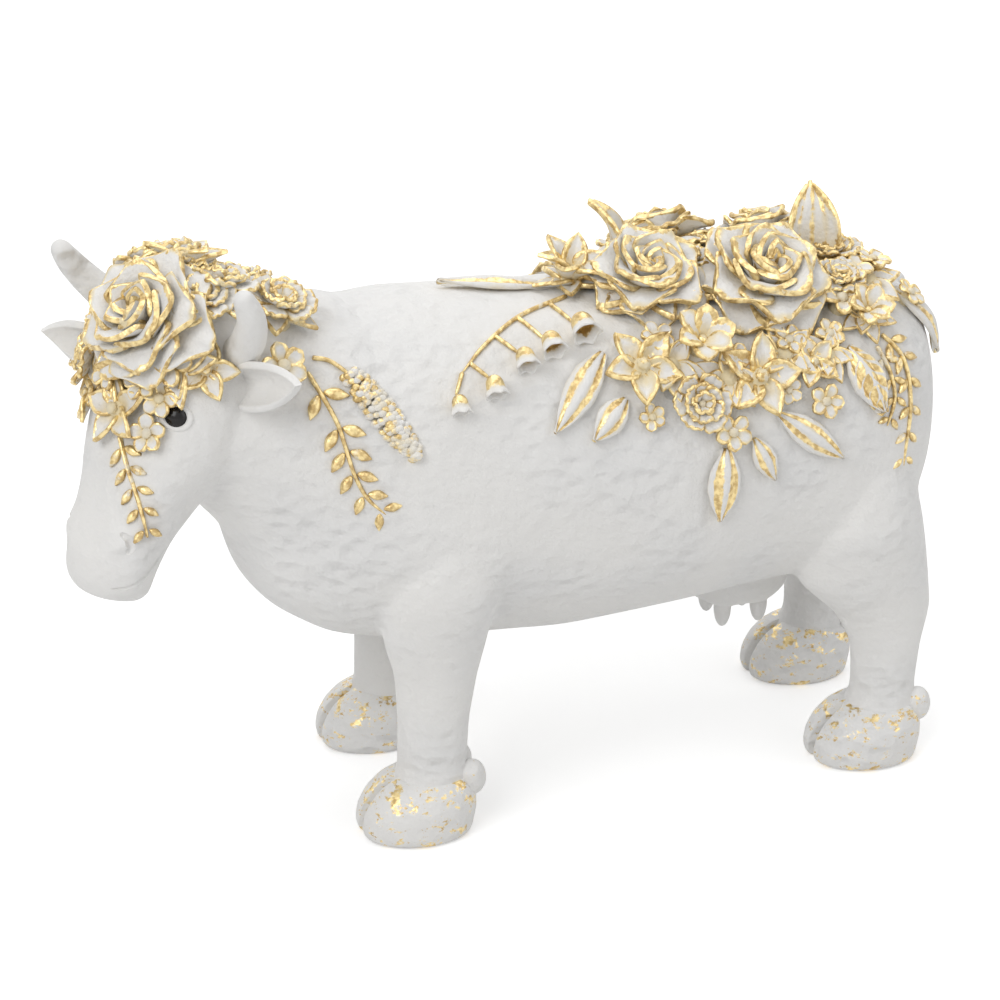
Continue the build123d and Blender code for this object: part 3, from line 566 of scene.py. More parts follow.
# Petals and flowers: lengths in a flower are shares of its radius
RUN = np.linspace(0, 1, 50)
OUTLINES = {
    "round": np.interp(RUN, [0, 0.12, 0.35, 0.60, 1], [0.30, 0.54, 0.90, 1.08, 1.12]) * np.sqrt(1 - RUN**3.4),
    "pointed": 0.16 * (1 - RUN) + np.sin(math.pi * (0.06 + 0.94 * RUN) ** 0.85),
    "fan": np.interp(RUN, [0, 0.15, 0.40, 0.70, 1], [0.20, 0.36, 0.66, 0.94, 1.02]) * np.sqrt(1 - RUN**9),
}
NARROWEST = 0.06
GILT_REACH = 0.0030
TIP_CROWDING = 1.4
CUP_TURN = 1.5
ROLL_START = 0.62
SIDE_ROLL_START = 0.7
SIDE_ROLL_SHARE = 0.1
WAVE_START = 1.1


def past(value, start):
    """How far a share is past a start, 0 to 1, growing slowly at first."""
    return np.clip((value - start) / (1 - start), 0, 1) ** 2


def petal(
    length,
    width,
    rise,
    cup,
    outline,
    root=0.0,
    bend=1.0,
    roll=0.0,
    ruffle=(0, 0),
    crease=0.0,
    tip=0.22,
    gild=1.0,
    steps=(12, 10),
):
    """A petal that runs out along X and opens along Z.

    Its rise is its slope at the heart and at the tip, in degrees.
    A ruffle is a count of waves and their height. Gild is how wide its gold is, as a share.
    """
    piece, along, across = sheet(*steps)
    along = 1 - (1 - along) ** TIP_CROWDING
    slope = np.radians(rise[0] + (rise[1] - rise[0]) * RUN**bend)
    step = length / (len(RUN) - 1)
    out = root + np.concatenate([[0], np.cumsum(np.cos(slope[:-1]) * step)])
    up = np.concatenate([[0], np.cumsum(np.sin(slope[:-1]) * step)])
    reach = along * (1 - tip * along**2 * across**2)
    half = width * np.maximum(np.interp(reach, RUN, OUTLINES[outline]), NARROWEST)
    side = across * half
    arc = np.clip(side / cup, -CUP_TURN, CUP_TURN)
    count, height = ruffle
    lift = cup * (1 - np.cos(arc)) + height * reach**2 * np.sin(count * math.pi * across + WAVE_START)
    lift = lift - crease * half * (1 - np.abs(across)) - roll * past(reach, ROLL_START)
    lift = lift - roll * SIDE_ROLL_SHARE * past(np.abs(across), SIDE_ROLL_START) * reach
    side = cup * np.sin(arc)
    lean = np.interp(reach, RUN, slope)
    x = np.interp(reach, RUN, out) - np.sin(lean) * lift
    z = np.interp(reach, RUN, up) + np.cos(lean) * lift
    set_points(piece, np.stack([x, side, z], 1))
    edge = np.minimum((1 - along) * length, (1 - np.abs(across)) * np.maximum(half, 0.15 * width))
    return marked(piece, edge=edge / gild, across=across, hollow=np.clip(1.15 - 1.3 * along, 0, 1))


RADII = {
    "rose": 0.015, "star": 0.010, "ruffled": 0.0095, "trumpet": 0.008,
    "lily": 0.0105, "small": 0.0046, "leafy": 0.013,
}
GILT_SHARES = {
    "rose": 0.17, "star": 0.26, "ruffled": 0.15, "trumpet": 0.34, "lily": 0.22, "small": 0.34, "leafy": 0.10
}
HEART_SHARES = {"star": 0.17, "ruffled": 0.12, "trumpet": 0.16, "lily": 0.13, "small": 0.27}
HEART_LIFT_SHARE = 0.22
PETAL_OUTLINES = {"star": "pointed", "ruffled": "fan", "lily": "pointed", "leafy": "pointed"}

# Rings of each flower: petal count, first turn in degrees, length, width, rise, cup and root of the petals,
# and what else their form has.
RING_SHARES = {
    "rose": [
        (6, 15, 1.18, 0.76, (-6, 8), 1.6, 0.10, dict(roll=0.18, ruffle=(3, 0.08), tip=0.42)),
        (5, 50, 1.04, 0.76, (10, 38), 1.0, 0.08, dict(roll=0.20, ruffle=(3, 0.07), tip=0.42)),
        (5, 10, 0.92, 0.68, (30, 66), 0.66, 0.06, dict(roll=0.18, ruffle=(2, 0.05), tip=0.38)),
        (4, 55, 0.81, 0.48, (52, 84), 0.38, 0.04, dict(roll=0.12, gild=0.7, tip=0.32)),
        (3, 0, 0.75, 0.27, (66, 92), 0.18, 0.03, dict(roll=0.04, gild=0.5)),
        (2, 40, 0.70, 0.13, (80, 94), 0.08, 0.02, dict(gild=0.4)),
    ],
    "star": [(5, 0, 1.08, 0.36, (22, -4), 0.60, 0.06, dict(crease=0.30, tip=0.05))],
    "ruffled": [
        (6, 0, 1.0, 0.50, (8, 24), 1.6, 0.08, dict(ruffle=(3, 0.07), tip=0.12, steps=(8, 10))),
        (6, 30, 0.80, 0.42, (28, 46), 1.2, 0.06, dict(ruffle=(3, 0.07), tip=0.12, steps=(8, 10))),
        (5, 12, 0.58, 0.32, (48, 70), 0.7, 0.04, dict(ruffle=(2, 0.06), tip=0.12, steps=(8, 8))),
    ],
    "trumpet": [(6, 0, 1.26, 0.44, (66, -8), 0.9, 0.10, dict(bend=1.4))],
    "lily": [
        (3, 0, 1.30, 0.34, (70, 4), 0.5, 0.07, dict(crease=0.25, tip=0.05)),
        (3, 60, 1.22, 0.40, (62, 14), 0.5, 0.07, dict(crease=0.25, tip=0.05)),
    ],
    "leafy": [
        (5, 0, 1.0, 0.27, (14, -6), 0.7, 0.0, dict(crease=0.30, tip=0.05, steps=(9, 6))),
        (4, 36, 0.82, 0.25, (18, -2), 0.7, 0.0, dict(crease=0.30, tip=0.05, steps=(9, 6))),
    ],
    "small": [(5, 0, 1.0, 0.46, (22, 0), 0.7, 0.10, dict(steps=(8, 6)))],
}
PETAL_WALL = 0.0011
# How petals of one ring differ: shares of length, and degrees of slope, turn and twist
LENGTH_DRAW = (0.93, 1.06)
SLOPE_DRAW = (-6, 6)
TURN_DRAW = (-7, 7)
TWIST_DRAW = (2, 12)


def heart(radius, height):
    """A knob of seeds in the middle of a flower."""
    bpy.ops.mesh.primitive_ico_sphere_add(subdivisions=3, radius=radius)
    piece = bpy.context.active_object
    spots = points_of(piece)
    seeds = 1 + 0.12 * np.sin(spots[:, 0] * 9 / radius) * np.sin(spots[:, 1] * 9 / radius)
    set_points(piece, spots * seeds[:, None] * (1, 1, 0.7) + (0, 0, height))
    return marked(piece, edge=0.0012, hollow=0.8)


def foot(radius):
    """The calyx under a flower, which reaches down to the skin."""
    bpy.ops.mesh.primitive_cone_add(vertices=14, radius1=0.62 * radius, radius2=0.20 * radius, depth=radius)
    piece = bpy.context.active_object
    set_points(piece, points_of(piece) - (0, 0, 0.36 * radius))
    return marked(piece, edge=0.006, hollow=1.0)


def bloom(kind, draw):
    """A flower of its kind at the origin, opening along Z, with petals that differ a little."""
    radius = RADII[kind]
    petals = []
    for count, first, length, width, rise, cup, root, form in RING_SHARES[kind]:
        form = dict(form, width=width * radius, cup=cup * radius, root=root * radius)
        form["outline"] = PETAL_OUTLINES.get(kind, "round")
        form["roll"] = form.get("roll", 0) * radius
        waves, height = form.get("ruffle", (0, 0))
        form["ruffle"] = (waves, height * radius)
        for index in range(count):
            form["length"] = length * radius * draw.uniform(*LENGTH_DRAW)
            form["rise"] = tuple(slope + draw.uniform(*SLOPE_DRAW) for slope in rise)
            leaf = petal(**form)
            degrees = first + 360 * index / count + draw.uniform(*TURN_DRAW)
            twist = Matrix.Rotation(math.radians(draw.uniform(*TWIST_DRAW)), 4, "X")
            leaf.data.transform(Matrix.Rotation(math.radians(degrees), 4, "Z") @ twist)
            petals.append(leaf)
    flower = joined(petals, f"{kind}_flower")
    thickened(flower, PETAL_WALL * (0.6 + 0.5 * radius / RADII["star"]))
    extras = [foot(radius)]
    if kind in HEART_SHARES:
        extras.append(heart(HEART_SHARES[kind] * radius, HEART_LIFT_SHARE * radius))
    return joined([flower, *extras], f"{kind}_flower")


# Flowers on the trunk and the head, and what fills the gaps between them: kind, station share, girth, size,
# lift and spin of each, and its lean towards the poll where it has one.
FLOWER_LIFT = 0.006
FOOT_HEIGHT = 0.0012
TRUNK_FLOWER_SHARES = {
    "saddle_rose_front": [("rose", 0.575, 74, 1.00, 0.7, 10)],
    "saddle_rose_rear": [("rose", 0.735, 68, 1.15, 0.7, 40)],
    "saddle_rose_top": [("rose", 0.790, 99, 0.92, 0.8, 20)],
    "saddle_lily": [("lily", 0.487, 86, 1.05, 0.3, 0)],
    "saddle_trumpet": [("trumpet", 0.612, 48, 1.00, 0.2, 15)],
    "saddle_star_front": [("star", 0.524, 43, 1.00, 0.0, 12)],
    "saddle_star_rear": [("star", 0.683, 35, 1.05, 0.0, 40)],
    "saddle_star_side": [("star", 0.765, 38, 0.70, 0.0, 0)],
    "saddle_ruffled": [("ruffled", 0.595, 29, 0.80, 0.0, 0)],
    "rear_trumpet": [("trumpet", 0.862, 53, 0.80, 0.3, 0)],
    "rear_ruffled": [("ruffled", 0.865, 84, 0.85, 0.5, 0)],
    "saddle_small_flowers": [
        ("small", 0.800, 47, 0.92, 0.0, 0), ("small", 0.774, 25, 1.00, 0.0, 30),
        ("small", 0.635, 19, 1.05, 0.0, 15), ("small", 0.526, 27, 0.78, 0.0, 0),
        ("small", 0.905, 74, 1.00, 0.6, 20), ("small", 0.940, 62, 0.90, 0.3, 0),
    ],
    "far_rose": [("rose", 0.655, 108, 0.98, 0.7, 30)],
    "far_star_front": [("star", 0.530, 136, 1.00, 0.0, 0)],
    "far_star_rear": [("star", 0.690, 143, 1.00, 0.0, 24)],
    "far_trumpet": [("trumpet", 0.780, 126, 1.00, 0.2, 0)],
    "far_ruffled": [("ruffled", 0.600, 150, 0.85, 0.0, 0)],
    "far_small_flowers": [
        ("small", 0.760, 148, 1.00, 0.0, 0), ("small", 0.645, 161, 1.00, 0.0, 20),
        ("small", 0.860, 128, 0.90, 0.0, 0),
    ],
    "nape_ruffled": [("ruffled", 0.062, 74, 0.90, 0.7, 0)],
    "nape_small_flowers": [("small", 0.048, 57, 1.30, 0.4, 0), ("small", 0.055, 106, 1.20, 0.4, 0)],
}
HEAD_FLOWER_SHARES = {
    "crown_rose": [("rose", 0.140, 84, 1.12, 0.4, 15)],
    "crown_ruffled_right": [("ruffled", 0.060, 126, 1.20, 0.5, 0, 20)],
    "crown_lily": [("lily", 0.240, 90, 1.00, 0.4, 20, 60)],
    "crown_ruffled_left": [("ruffled", 0.240, 42, 0.95, 0.4, 0, 60)],
    "crown_ruffled_far": [("ruffled", 0.260, 138, 1.05, 0.2, 0)],
    "brow_star": [("star", 0.415, 92, 0.90, 0.0, 18)],
    "ear_star": [("star", 0.225, 38, 0.75, 0.0, 0)],
    "far_brow_star": [("star", 0.400, 134, 0.80, 0.0, 0)],
    "brow_small_flowers": [
        ("small", 0.345, 60, 1.05, 0.0, 0), ("small", 0.457, 62, 1.05, 0.0, 20),
        ("small", 0.350, 116, 0.85, 0.0, 0),
    ],
}
TRUNK_FILL_SHARES = {
    "saddle_under_leaves": [
        ("leafy", 0.575, 74, 1.35, 0.0, 20), ("leafy", 0.735, 68, 1.50, 0.0, 0),
        ("leafy", 0.790, 99, 1.30, 0.3, 10), ("leafy", 0.655, 108, 1.30, 0.3, 40),
        ("leafy", 0.487, 86, 0.90, 0.1, 0), ("leafy", 0.520, 94, 0.90, 0.3, 30),
        ("leafy", 0.850, 80, 1.10, 0.1, 0), ("leafy", 0.890, 68, 0.95, 0.1, 50),
        ("leafy", 0.862, 53, 0.75, 0.0, 20), ("leafy", 0.600, 128, 1.00, 0.0, 0),
        ("leafy", 0.062, 76, 1.00, 0.1, 0), ("leafy", 0.565, 42, 0.85, 0.0, 15),
        ("leafy", 0.640, 36, 0.85, 0.0, 50), ("leafy", 0.728, 42, 0.85, 0.0, 0),
        ("leafy", 0.790, 40, 0.70, 0.0, 30),
    ],
    "saddle_fill_ruffled": [
        ("ruffled", 0.652, 84, 0.80, 0.7, 0), ("ruffled", 0.590, 98, 0.85, 0.8, 30),
        ("ruffled", 0.710, 96, 0.75, 0.9, 10), ("ruffled", 0.845, 67, 0.75, 0.4, 50),
        ("ruffled", 0.720, 120, 0.80, 0.3, 0), ("ruffled", 0.040, 92, 0.80, 0.5, 0),
    ],
    "saddle_fill_small": [
        ("small", 0.832, 58, 1.20, 0.3, 0), ("small", 0.868, 70, 1.15, 0.5, 20),
        ("small", 0.556, 52, 0.95, 0.1, 0), ("small", 0.652, 42, 0.95, 0.1, 10),
        ("small", 0.738, 46, 0.90, 0.1, 30), ("small", 0.722, 30, 0.80, 0.0, 0),
        ("small", 0.600, 118, 1.10, 0.1, 0), ("small", 0.840, 110, 1.10, 0.2, 20),
    ],
}
HEAD_FILL_SHARES = {
    "crown_under_leaves": [
        ("leafy", 0.140, 84, 1.45, 0.1, 10), ("leafy", 0.240, 58, 0.95, 0.0, 0),
        ("leafy", 0.060, 126, 1.10, 0.1, 30, 20), ("leafy", 0.220, 42, 0.95, 0.2, 0, 50),
        ("leafy", 0.330, 112, 0.85, 0.0, 20),
    ],
    "crown_fill_flowers": [
        ("ruffled", 0.180, 122, 0.85, 0.4, 0), ("ruffled", 0.120, 52, 0.85, 0.4, 40, 20),
        ("ruffled", 0.180, 90, 0.80, 0.7, 20, 50), ("small", 0.240, 58, 1.20, 0.4, 0),
        ("small", 0.310, 74, 1.05, 0.2, 30), ("small", 0.310, 106, 1.10, 0.2, 0),
    ],
}
# How far some flowers tip down the flank, in degrees
FLOWER_TIPS = {
    "saddle_rose_front": 20, "saddle_rose_rear": 17, "saddle_rose_top": -8, "saddle_lily": 12, "far_rose": -16
}
FULLNESS = {"star": 1.12, "ruffled": 1.12, "trumpet": 1.14, "small": 1.12}
OUTSIDE = 0.4


def trunk_line(station, girth, lean):
    """A point on the trunk's axis and the direction outwards at a girth."""
    start = Vector((trunk_front.x + station * TRUNK_LENGTH, trunk_front.y, trunk_middle))
    ring = Vector((0, -math.cos(math.radians(girth)), math.sin(math.radians(girth))))
    return start, ring * math.cos(math.radians(lean)) + Vector((1, 0, 0)) * math.sin(math.radians(lean))


def head_point(along, left, face):
    """A place in the head, from shares of its length, width and depth."""
    down = head_down * (along * HEAD_LENGTH)
    return poll + down + head_left * (left * HEAD_WIDTH) + head_face * (face * HEAD_DEPTH)


def head_line(station, girth, lean):
    """A point on the head's axis and the direction outwards at a girth. Lean tips it towards the poll."""
    ring = head_left * math.cos(math.radians(girth)) + head_face * math.sin(math.radians(girth))
    outward = ring * math.cos(math.radians(lean)) - head_down * math.sin(math.radians(lean))
    return head_point(station, 0, -HEAD_AXIS_SHARE), outward


def on_skin(skin, start, outward):
    """Where a line from inside a casting leaves its skin, and the skin's direction there."""
    return skin.ray_cast(start + outward * OUTSIDE, -outward)[:2]


def seat(carrier, station, girth, lean=0):
    """A place on the trunk's or head's skin: Z points outwards and X towards the head's end."""
    skin, line, towards = carrier
    spot, normal = on_skin(skin, *line(station, girth, lean))
    across = normal.cross(towards).normalized()
    run = across.cross(normal)
    return Matrix.Translation(spot) @ Matrix((run, across, normal)).transposed().to_4x4()


on_trunk = (trunk_skin, trunk_line, Vector((-1, 0, 0)))
on_head = (head_skin, head_line, -head_down)
LEAST_GILT = 0.06
DRAW_SEED = 7
SADDLE_GILDING = 1.0
FILL_GILDING = 0.75
CROWN_GILDING = 0.62


def gilt_by_edge(piece, reach, least):
    """Marks where gold lies on petals: most at their edges, with a little all over."""
    return marked(piece, gilt=np.clip(0.92 - 0.8 * values_of(piece, "edge") / reach, least, 1))


def set_flowers(carrier, table, blooms, draw, gilding):
    """Every flower of a table, one piece for each solid, or one for each group that fills the gaps."""
    for node, group in table.items():
        copies = []
        for kind, station, girth, size, lift, spin, *lean in group:
            size = size * FULLNESS.get(kind, 1)
            rise = lift * FLOWER_LIFT + size * FOOT_HEIGHT
            place = seat(carrier, station, girth, *lean) @ Matrix.Translation((0, 0, rise))
            place = place @ Matrix.Rotation(math.radians(-FLOWER_TIPS.get(node, 0)), 4, "X")
            turned = place @ Matrix.Rotation(math.radians(spin), 4, "Z") @ Matrix.Scale(size, 4)
            twin = copied(draw.choice(blooms[kind]), turned)
            copies.append(gilt_by_edge(twin, gilding * GILT_SHARES[kind] * RADII[kind], LEAST_GILT))
        piece = joined(copies, f"{node}_petals")
        smooth_faces(piece)
        dressed(piece, gilded_petals, "gilded_flower", *([node] if node in nodes else []))


draw = random.Random(DRAW_SEED)
VARIETIES = {"rose": 3, "star": 2, "ruffled": 2, "trumpet": 1, "lily": 1, "small": 2, "leafy": 2}
blooms = {kind: [bloom(kind, draw) for variety in range(count)] for kind, count in VARIETIES.items()}
set_flowers(on_trunk, TRUNK_FLOWER_SHARES, blooms, draw, SADDLE_GILDING)
set_flowers(on_head, HEAD_FLOWER_SHARES, blooms, draw, CROWN_GILDING)
set_flowers(on_trunk, TRUNK_FILL_SHARES, blooms, draw, FILL_GILDING)
set_flowers(on_head, HEAD_FILL_SHARES, blooms, draw, CROWN_GILDING)
for varieties in blooms.values():
    for model in varieties:
        bpy.data.objects.remove(model)

# Leaves, sprigs and stems in low relief. A relief is the height of the crown over the edge, and of the edge.
STEM_HALF = 0.0009
LEAFLET_LENGTH = 0.0070
LEAFLET_HALF = 0.0020
LEAFLET_TURN = 50.0
BLADE_HALF = 0.0054
LEAF_WALL = 0.0016
LEAF_RELIEF = (0.0028, 0.0012)
LEAF_FURROW = 0.0015
LEAF_LIFT = 0.0014
LEAF_STEPS = (14, 8)
OVATE_STEPS = (30, 18)
STEM_CROWN = 0.0012
STALK_CROWN = 0.0011
STEM_EDGE = 0.0002
STEM_WALL = 0.001
STEM_GILT = 0.72
SPIKE_STEM_GILT = 0.7
LEAFLET_RELIEF = (0.0015, 0.0003)
LEAFLET_LIFT = 0.0004
LEAFLET_WALL = 0.0011
# Leaves on the trunk: base and tip of each, as station shares and girths, and its size
TRUNK_LEAF_SHARES = {
    "saddle_blades": [
        ((0.480, 50), (0.392, 26), 1.00),
        ((0.627, 14), (0.617, -11), 1.05),
        ((0.705, 23), (0.797, 5), 0.90),
        ((0.925, 66), (0.985, 46), 1.00),
    ],
    "saddle_bud_leaves": [((0.496, 34), (0.443, 22), 0.90), ((0.667, 16), (0.695, 1), 0.75)],
    "ovate_leaf": [((0.822, 42), (0.862, 19), 1.15)],
    "spine_leaf": [((0.460, 87), (0.308, 93), 0.85)],
    "far_blades": [
        ((0.490, 128), (0.395, 152), 1.00),
        ((0.640, 166), (0.625, 190), 1.00),
        ((0.720, 157), (0.800, 175), 0.90),
    ],
}
TRUNK_SPRIG_SHARES = {
    "neck_sprig": ([(0.085, 56), (0.111, 41), (0.121, 31), (0.130, 21), (0.146, 11), (0.172, 3)], 6, 1.0),
    "rump_sprig_long": ([(0.880, 46), (0.906, 37), (0.912, 20), (0.904, 2), (0.900, -15)], 7, 0.80),
    "rump_sprig_short": ([(0.868, 42), (0.882, 32), (0.885, 23), (0.872, 13)], 4, 0.72),
    "far_neck_sprig": ([(0.085, 124), (0.111, 139), (0.121, 149), (0.130, 159), (0.146, 169)], 6, 1.0),
    "far_rump_sprig": ([(0.880, 134), (0.906, 143), (0.912, 160), (0.904, 178)], 6, 0.80),
}
FACE_SPRIG_SHARES = ([(0.490, 86), (0.580, 72), (0.670, 57), (0.765, 44)], 5, 0.82)
SPIKE_SHARES = [(0.140, 53), (0.178, 38), (0.214, 23)]
SPIKE_STEM_SHARES = [(0.095, 60), (0.118, 58), (0.142, 52)]
BELL_STEM_SHARES = [(0.470, 78), (0.393, 69), (0.328, 58), (0.285, 49)]
BELL_SHARES = [(0.457, 62, 1.15), (0.408, 57, 1.0), (0.367, 53, 0.95), (0.319, 46, 0.9), (0.270, 42, 0.8)]


def run_through(points, shares):
    """Places along a smooth line through points."""
    guide = np.array([points[0] * 2 - points[1], *points, points[-1] * 2 - points[-2]])
    stretch = np.clip(np.asarray(shares) * (len(points) - 1), 0, len(points) - 1 - 1e-6)
    index = stretch.astype(int)
    t = (stretch - index)[:, None]
    before, here, there, after = (guide[index + step] for step in range(4))
    bend = 2 * before - 5 * here + 4 * there - after
    twist = 3 * here - before - 3 * there + after
    return 0.5 * (2 * here + (there - before) * t + bend * t**2 + twist * t**3)


def runs_of(points, shares):
    """Directions along that line."""
    return run_through(points, shares + 0.01) - run_through(points, shares - 0.01)


def on(carrier, route):
    """Skin places of a route of stations and girths."""
    return [np.array(seat(carrier, *stop).translation) for stop in route]


def laid(skin, points, half_width, outline, crown, edge, steps, furrow=0.0, lift=0.0):
    """A leaf or stem laid along points on the skin, with a rounded crown and, if it has them, two furrows."""
    piece, along, across = sheet(*steps)
    shares = np.unique(along.round(5))
    line = run_through(points, shares)
    runs = np.gradient(line, axis=0)
    half = half_width * np.interp(along, *outline)
    relief = edge + crown * np.sqrt(np.clip(1 - across**2, 0, 1)) * np.clip(half / half_width, 0.3, 1)
    relief = relief - furrow * np.exp(-(((np.abs(across) - 0.45) / 0.18) ** 2)) + lift * along**3
    spots = []
    for share, side, height in zip(along.round(5), across * half, relief):
        index = int(np.searchsorted(shares, share))
        centre, normal = skin.find_nearest(Vector(line[index]))[:2]
        sideways = normal.cross(Vector(runs[index])).normalized()
        spot, normal = skin.find_nearest(centre + sideways * side)[:2]
        spots.append(spot + normal * height)
    set_points(piece, spots)
    return marked(piece, along=along, across=across, hollow=np.clip(np.abs(across) - 0.4, 0, 1))


LEAF_OUTLINE = ([0, 0.10, 0.30, 0.55, 0.80, 0.93, 1], [0.22, 0.48, 0.90, 1.0, 0.62, 0.26, 0.03])
STEM_OUTLINE = ([0, 0.8, 1], [1.0, 0.85, 0.4])


def stem(skin, points, rows=24, crown=STEM_CROWN):
    """A thin stem laid along points on the skin."""
    piece = laid(skin, points, STEM_HALF, STEM_OUTLINE, crown, STEM_EDGE, (rows, 4))
    return thickened(piece, STEM_WALL, -1)


def stroked(piece):
    """Marks two gold strokes along a blade, with a white rib and margin."""
    across = np.abs(values_of(piece, "across"))
    along = values_of(piece, "along")
    stroke = np.exp(-(((across - 0.45) / 0.26) ** 2)) * np.clip(1.5 - 1.1 * np.abs(along - 0.5), 0, 1)
    return marked(piece, gilt=stroke * 0.86)


def veined(piece):
    """Marks gold over a leaf's middle, broken by pale side veins, with a white margin."""
    across = np.abs(values_of(piece, "across"))
    along = values_of(piece, "along")
    veins = (0.5 + 0.5 * np.cos((along * 11 - across * 3.0) * math.pi)) ** 5
    rib = np.exp(-((across / 0.12) ** 2))
    return marked(piece, gilt=np.clip(0.92 - across**4 - 0.55 * veins - 0.7 * rib, 0, 1))


def finished_leaf(pieces, node):
    """Joins a node's leaves and dresses them."""
    piece = joined(pieces, f"{node}_relief")
    smooth_faces(piece)
    dressed(piece, gilded_leaves, "gilded_leaf", node)


def blades():
    """The blade, bud, ovate and spine leaves, bent over the skin."""
    for node, leaves in TRUNK_LEAF_SHARES.items():
        pieces = []
        veins = node == "ovate_leaf"
        for base, tip, size in leaves:
            points = run_through(on(on_trunk, [base, tip]), np.linspace(0, 1, 5))
            steps = OVATE_STEPS if veins else LEAF_STEPS
            form = (size * BLADE_HALF, LEAF_OUTLINE, *LEAF_RELIEF, steps, LEAF_FURROW, LEAF_LIFT)
            piece = laid(trunk_skin, points, *form)
            thickened(piece, LEAF_WALL, -1)
            pieces.append(veined(piece) if veins else stroked(piece))
        finished_leaf(pieces, node)


def sprig(carrier, node, route, count, size):
    """A stem with plump leaflets to each side."""
    skin = carrier[0]
    points = on(carrier, route)
    pieces = [stem(skin, points)]
    shares = (np.arange(count) + 0.5) / count
    for place, run, share in zip(run_through(points, shares), runs_of(points, shares), shares):
        spot, normal = skin.find_nearest(Vector(place))[:2]
        for side in (-1, 1):
            way = Matrix.Rotation(math.radians(side * LEAFLET_TURN), 3, normal) @ Vector(run).normalized()
            reach = size * LEAFLET_LENGTH * (1.12 - 0.35 * share)
            steps = (STEM_HALF, STEM_HALF + reach / 2, STEM_HALF + reach)
            ends = [np.array(spot + way * step) for step in steps]
            half = size * LEAFLET_HALF * (1.1 - 0.25 * share)
            leaflet = laid(skin, ends, half, LEAF_OUTLINE, *LEAFLET_RELIEF, (7, 4), lift=LEAFLET_LIFT)
            pieces.append(thickened(leaflet, LEAFLET_WALL, -1))
    finished_leaf([marked(piece, gilt=STEM_GILT) for piece in pieces], node)


def bead(place, radius, gold):
    """A small round bud with gold rubbed on its top."""
    bpy.ops.mesh.primitive_ico_sphere_add(subdivisions=2, radius=radius)
    piece = bpy.context.active_object
    height = points_of(piece)[:, 2] / radius
    marked(piece, gilt=gold + 0.14 * height, hollow=0.5 - 0.4 * height)
    piece.data.transform(place @ Matrix.Diagonal((1.15, 0.9, 0.9, 1)))
    return piece


BEAD_SIZE_DRAW = (0.85, 1.15)
BEAD_GILT_DRAW = (0.26, 0.52)
SPIKE_ROWS = 18
SPIKE_HALF = 0.0034
BEAD_RADIUS = 0.00120
BEAD_RISE = 0.0020
BEAD_STAGGER = 0.0007
BEAD_BOW = 0.0012
BEADS_ACROSS = (-1.0, -0.6, -0.2, 0.2, 0.6, 1.0)


def neck_spike(draw):
    """A spike of many small buds on a stem."""
    pieces = [marked(stem(trunk_skin, on(on_trunk, SPIKE_STEM_SHARES), 12), gilt=SPIKE_STEM_GILT)]
    points = on(on_trunk, SPIKE_SHARES)
    shares = (np.arange(SPIKE_ROWS) + 0.5) / SPIKE_ROWS
    for place, run, share in zip(run_through(points, shares), runs_of(points, shares), shares):
        spot, normal = trunk_skin.find_nearest(Vector(place))[:2]
        sideways = normal.cross(Vector(run)).normalized()
        half = SPIKE_HALF * math.sin(math.pi * (0.12 + 0.84 * share)) ** 0.6
        for across in BEADS_ACROSS:
            along = BEAD_STAGGER * draw.uniform(-1, 1) - BEAD_BOW * abs(across)
            stagger = Vector(run).normalized() * along
            base, skyward = trunk_skin.find_nearest(spot + sideways * (across * half) + stagger)[:2]
            rise = BEAD_RISE * (1 - 0.75 * across**2)
            turn = skyward.to_track_quat("Z", "Y").to_matrix().to_4x4()
            place = Matrix.Translation(base + skyward * rise) @ turn
            radius = BEAD_RADIUS * draw.uniform(*BEAD_SIZE_DRAW)
            pieces.append(bead(place, radius, draw.uniform(*BEAD_GILT_DRAW)))
    finished_leaf(pieces, "neck_spike")


BELL_RADIUS = 0.0040
BELL_LENGTH = 0.0070
BELL_WALL = 0.0007
BELL_LOBES = 5


def bell_form(along, turn):
    """A bell's skin, from its knob along Y to its lobed lip."""
    lobes = np.cos(BELL_LOBES * turn)
    radius = BELL_RADIUS * np.interp(along, [0, 0.12, 0.35, 0.7, 1], [0, 0.50, 0.70, 0.76, 1.0])
    radius = radius * (1 + 0.13 * along**3 * lobes)
    out = BELL_LENGTH * along * (1 + 0.08 * along**2 * lobes)
    return np.stack([radius * np.sin(turn), out, BELL_RADIUS + radius * np.cos(turn)], 1)


def bell(place, size):
    """A small bell flower, gold on its dome and white at its lip."""
    piece = thickened(wrapped((9, 20), bell_form), BELL_WALL, -1)
    along = values_of(piece, "along")
    marked(piece, gilt=np.clip(1.5 - 1.5 * along, 0.25, 0.9), hollow=np.clip(1 - 2 * along, 0, 1))
    piece.data.transform(place @ Matrix.Scale(size, 4))
    return piece


def bell_spray():
    """A stem with bells that hang from it on short stalks."""
    line = on(on_trunk, BELL_STEM_SHARES)
    stalks = [stem(trunk_skin, line)]
    bells = []
    for station, girth, size in BELL_SHARES:
        place = seat(on_trunk, station, girth)
        top = np.array(place.translation)
        near = min(run_through(line, np.linspace(0, 1, 30)), key=lambda spot: np.linalg.norm(spot - top))
        stalks.append(stem(trunk_skin, [near, (near + top) / 2, top], 8, STALK_CROWN))
        bells.append(bell(place, size))
    finished_leaf([marked(piece, gilt=STEM_GILT) for piece in stalks] + bells, "bell_spray")


# Leaves that stand up: station share, girth, spin and size of each
CURL_SHARES = {"curled_leaf_front": (0.560, 92, -25, 1.00), "curled_leaf_rear": (0.835, 84, -105, 1.05)}
CURL_LENGTH = 0.026
CURL_HALF = 0.0078
CURL_RISE = (94, 18)
CURL_CUP = 0.011
CURL_WALL = 0.0013
CURL_FORM = dict(bend=2.0, crease=0.10, tip=0.05, ruffle=(2, 0.0008), steps=(18, 12))


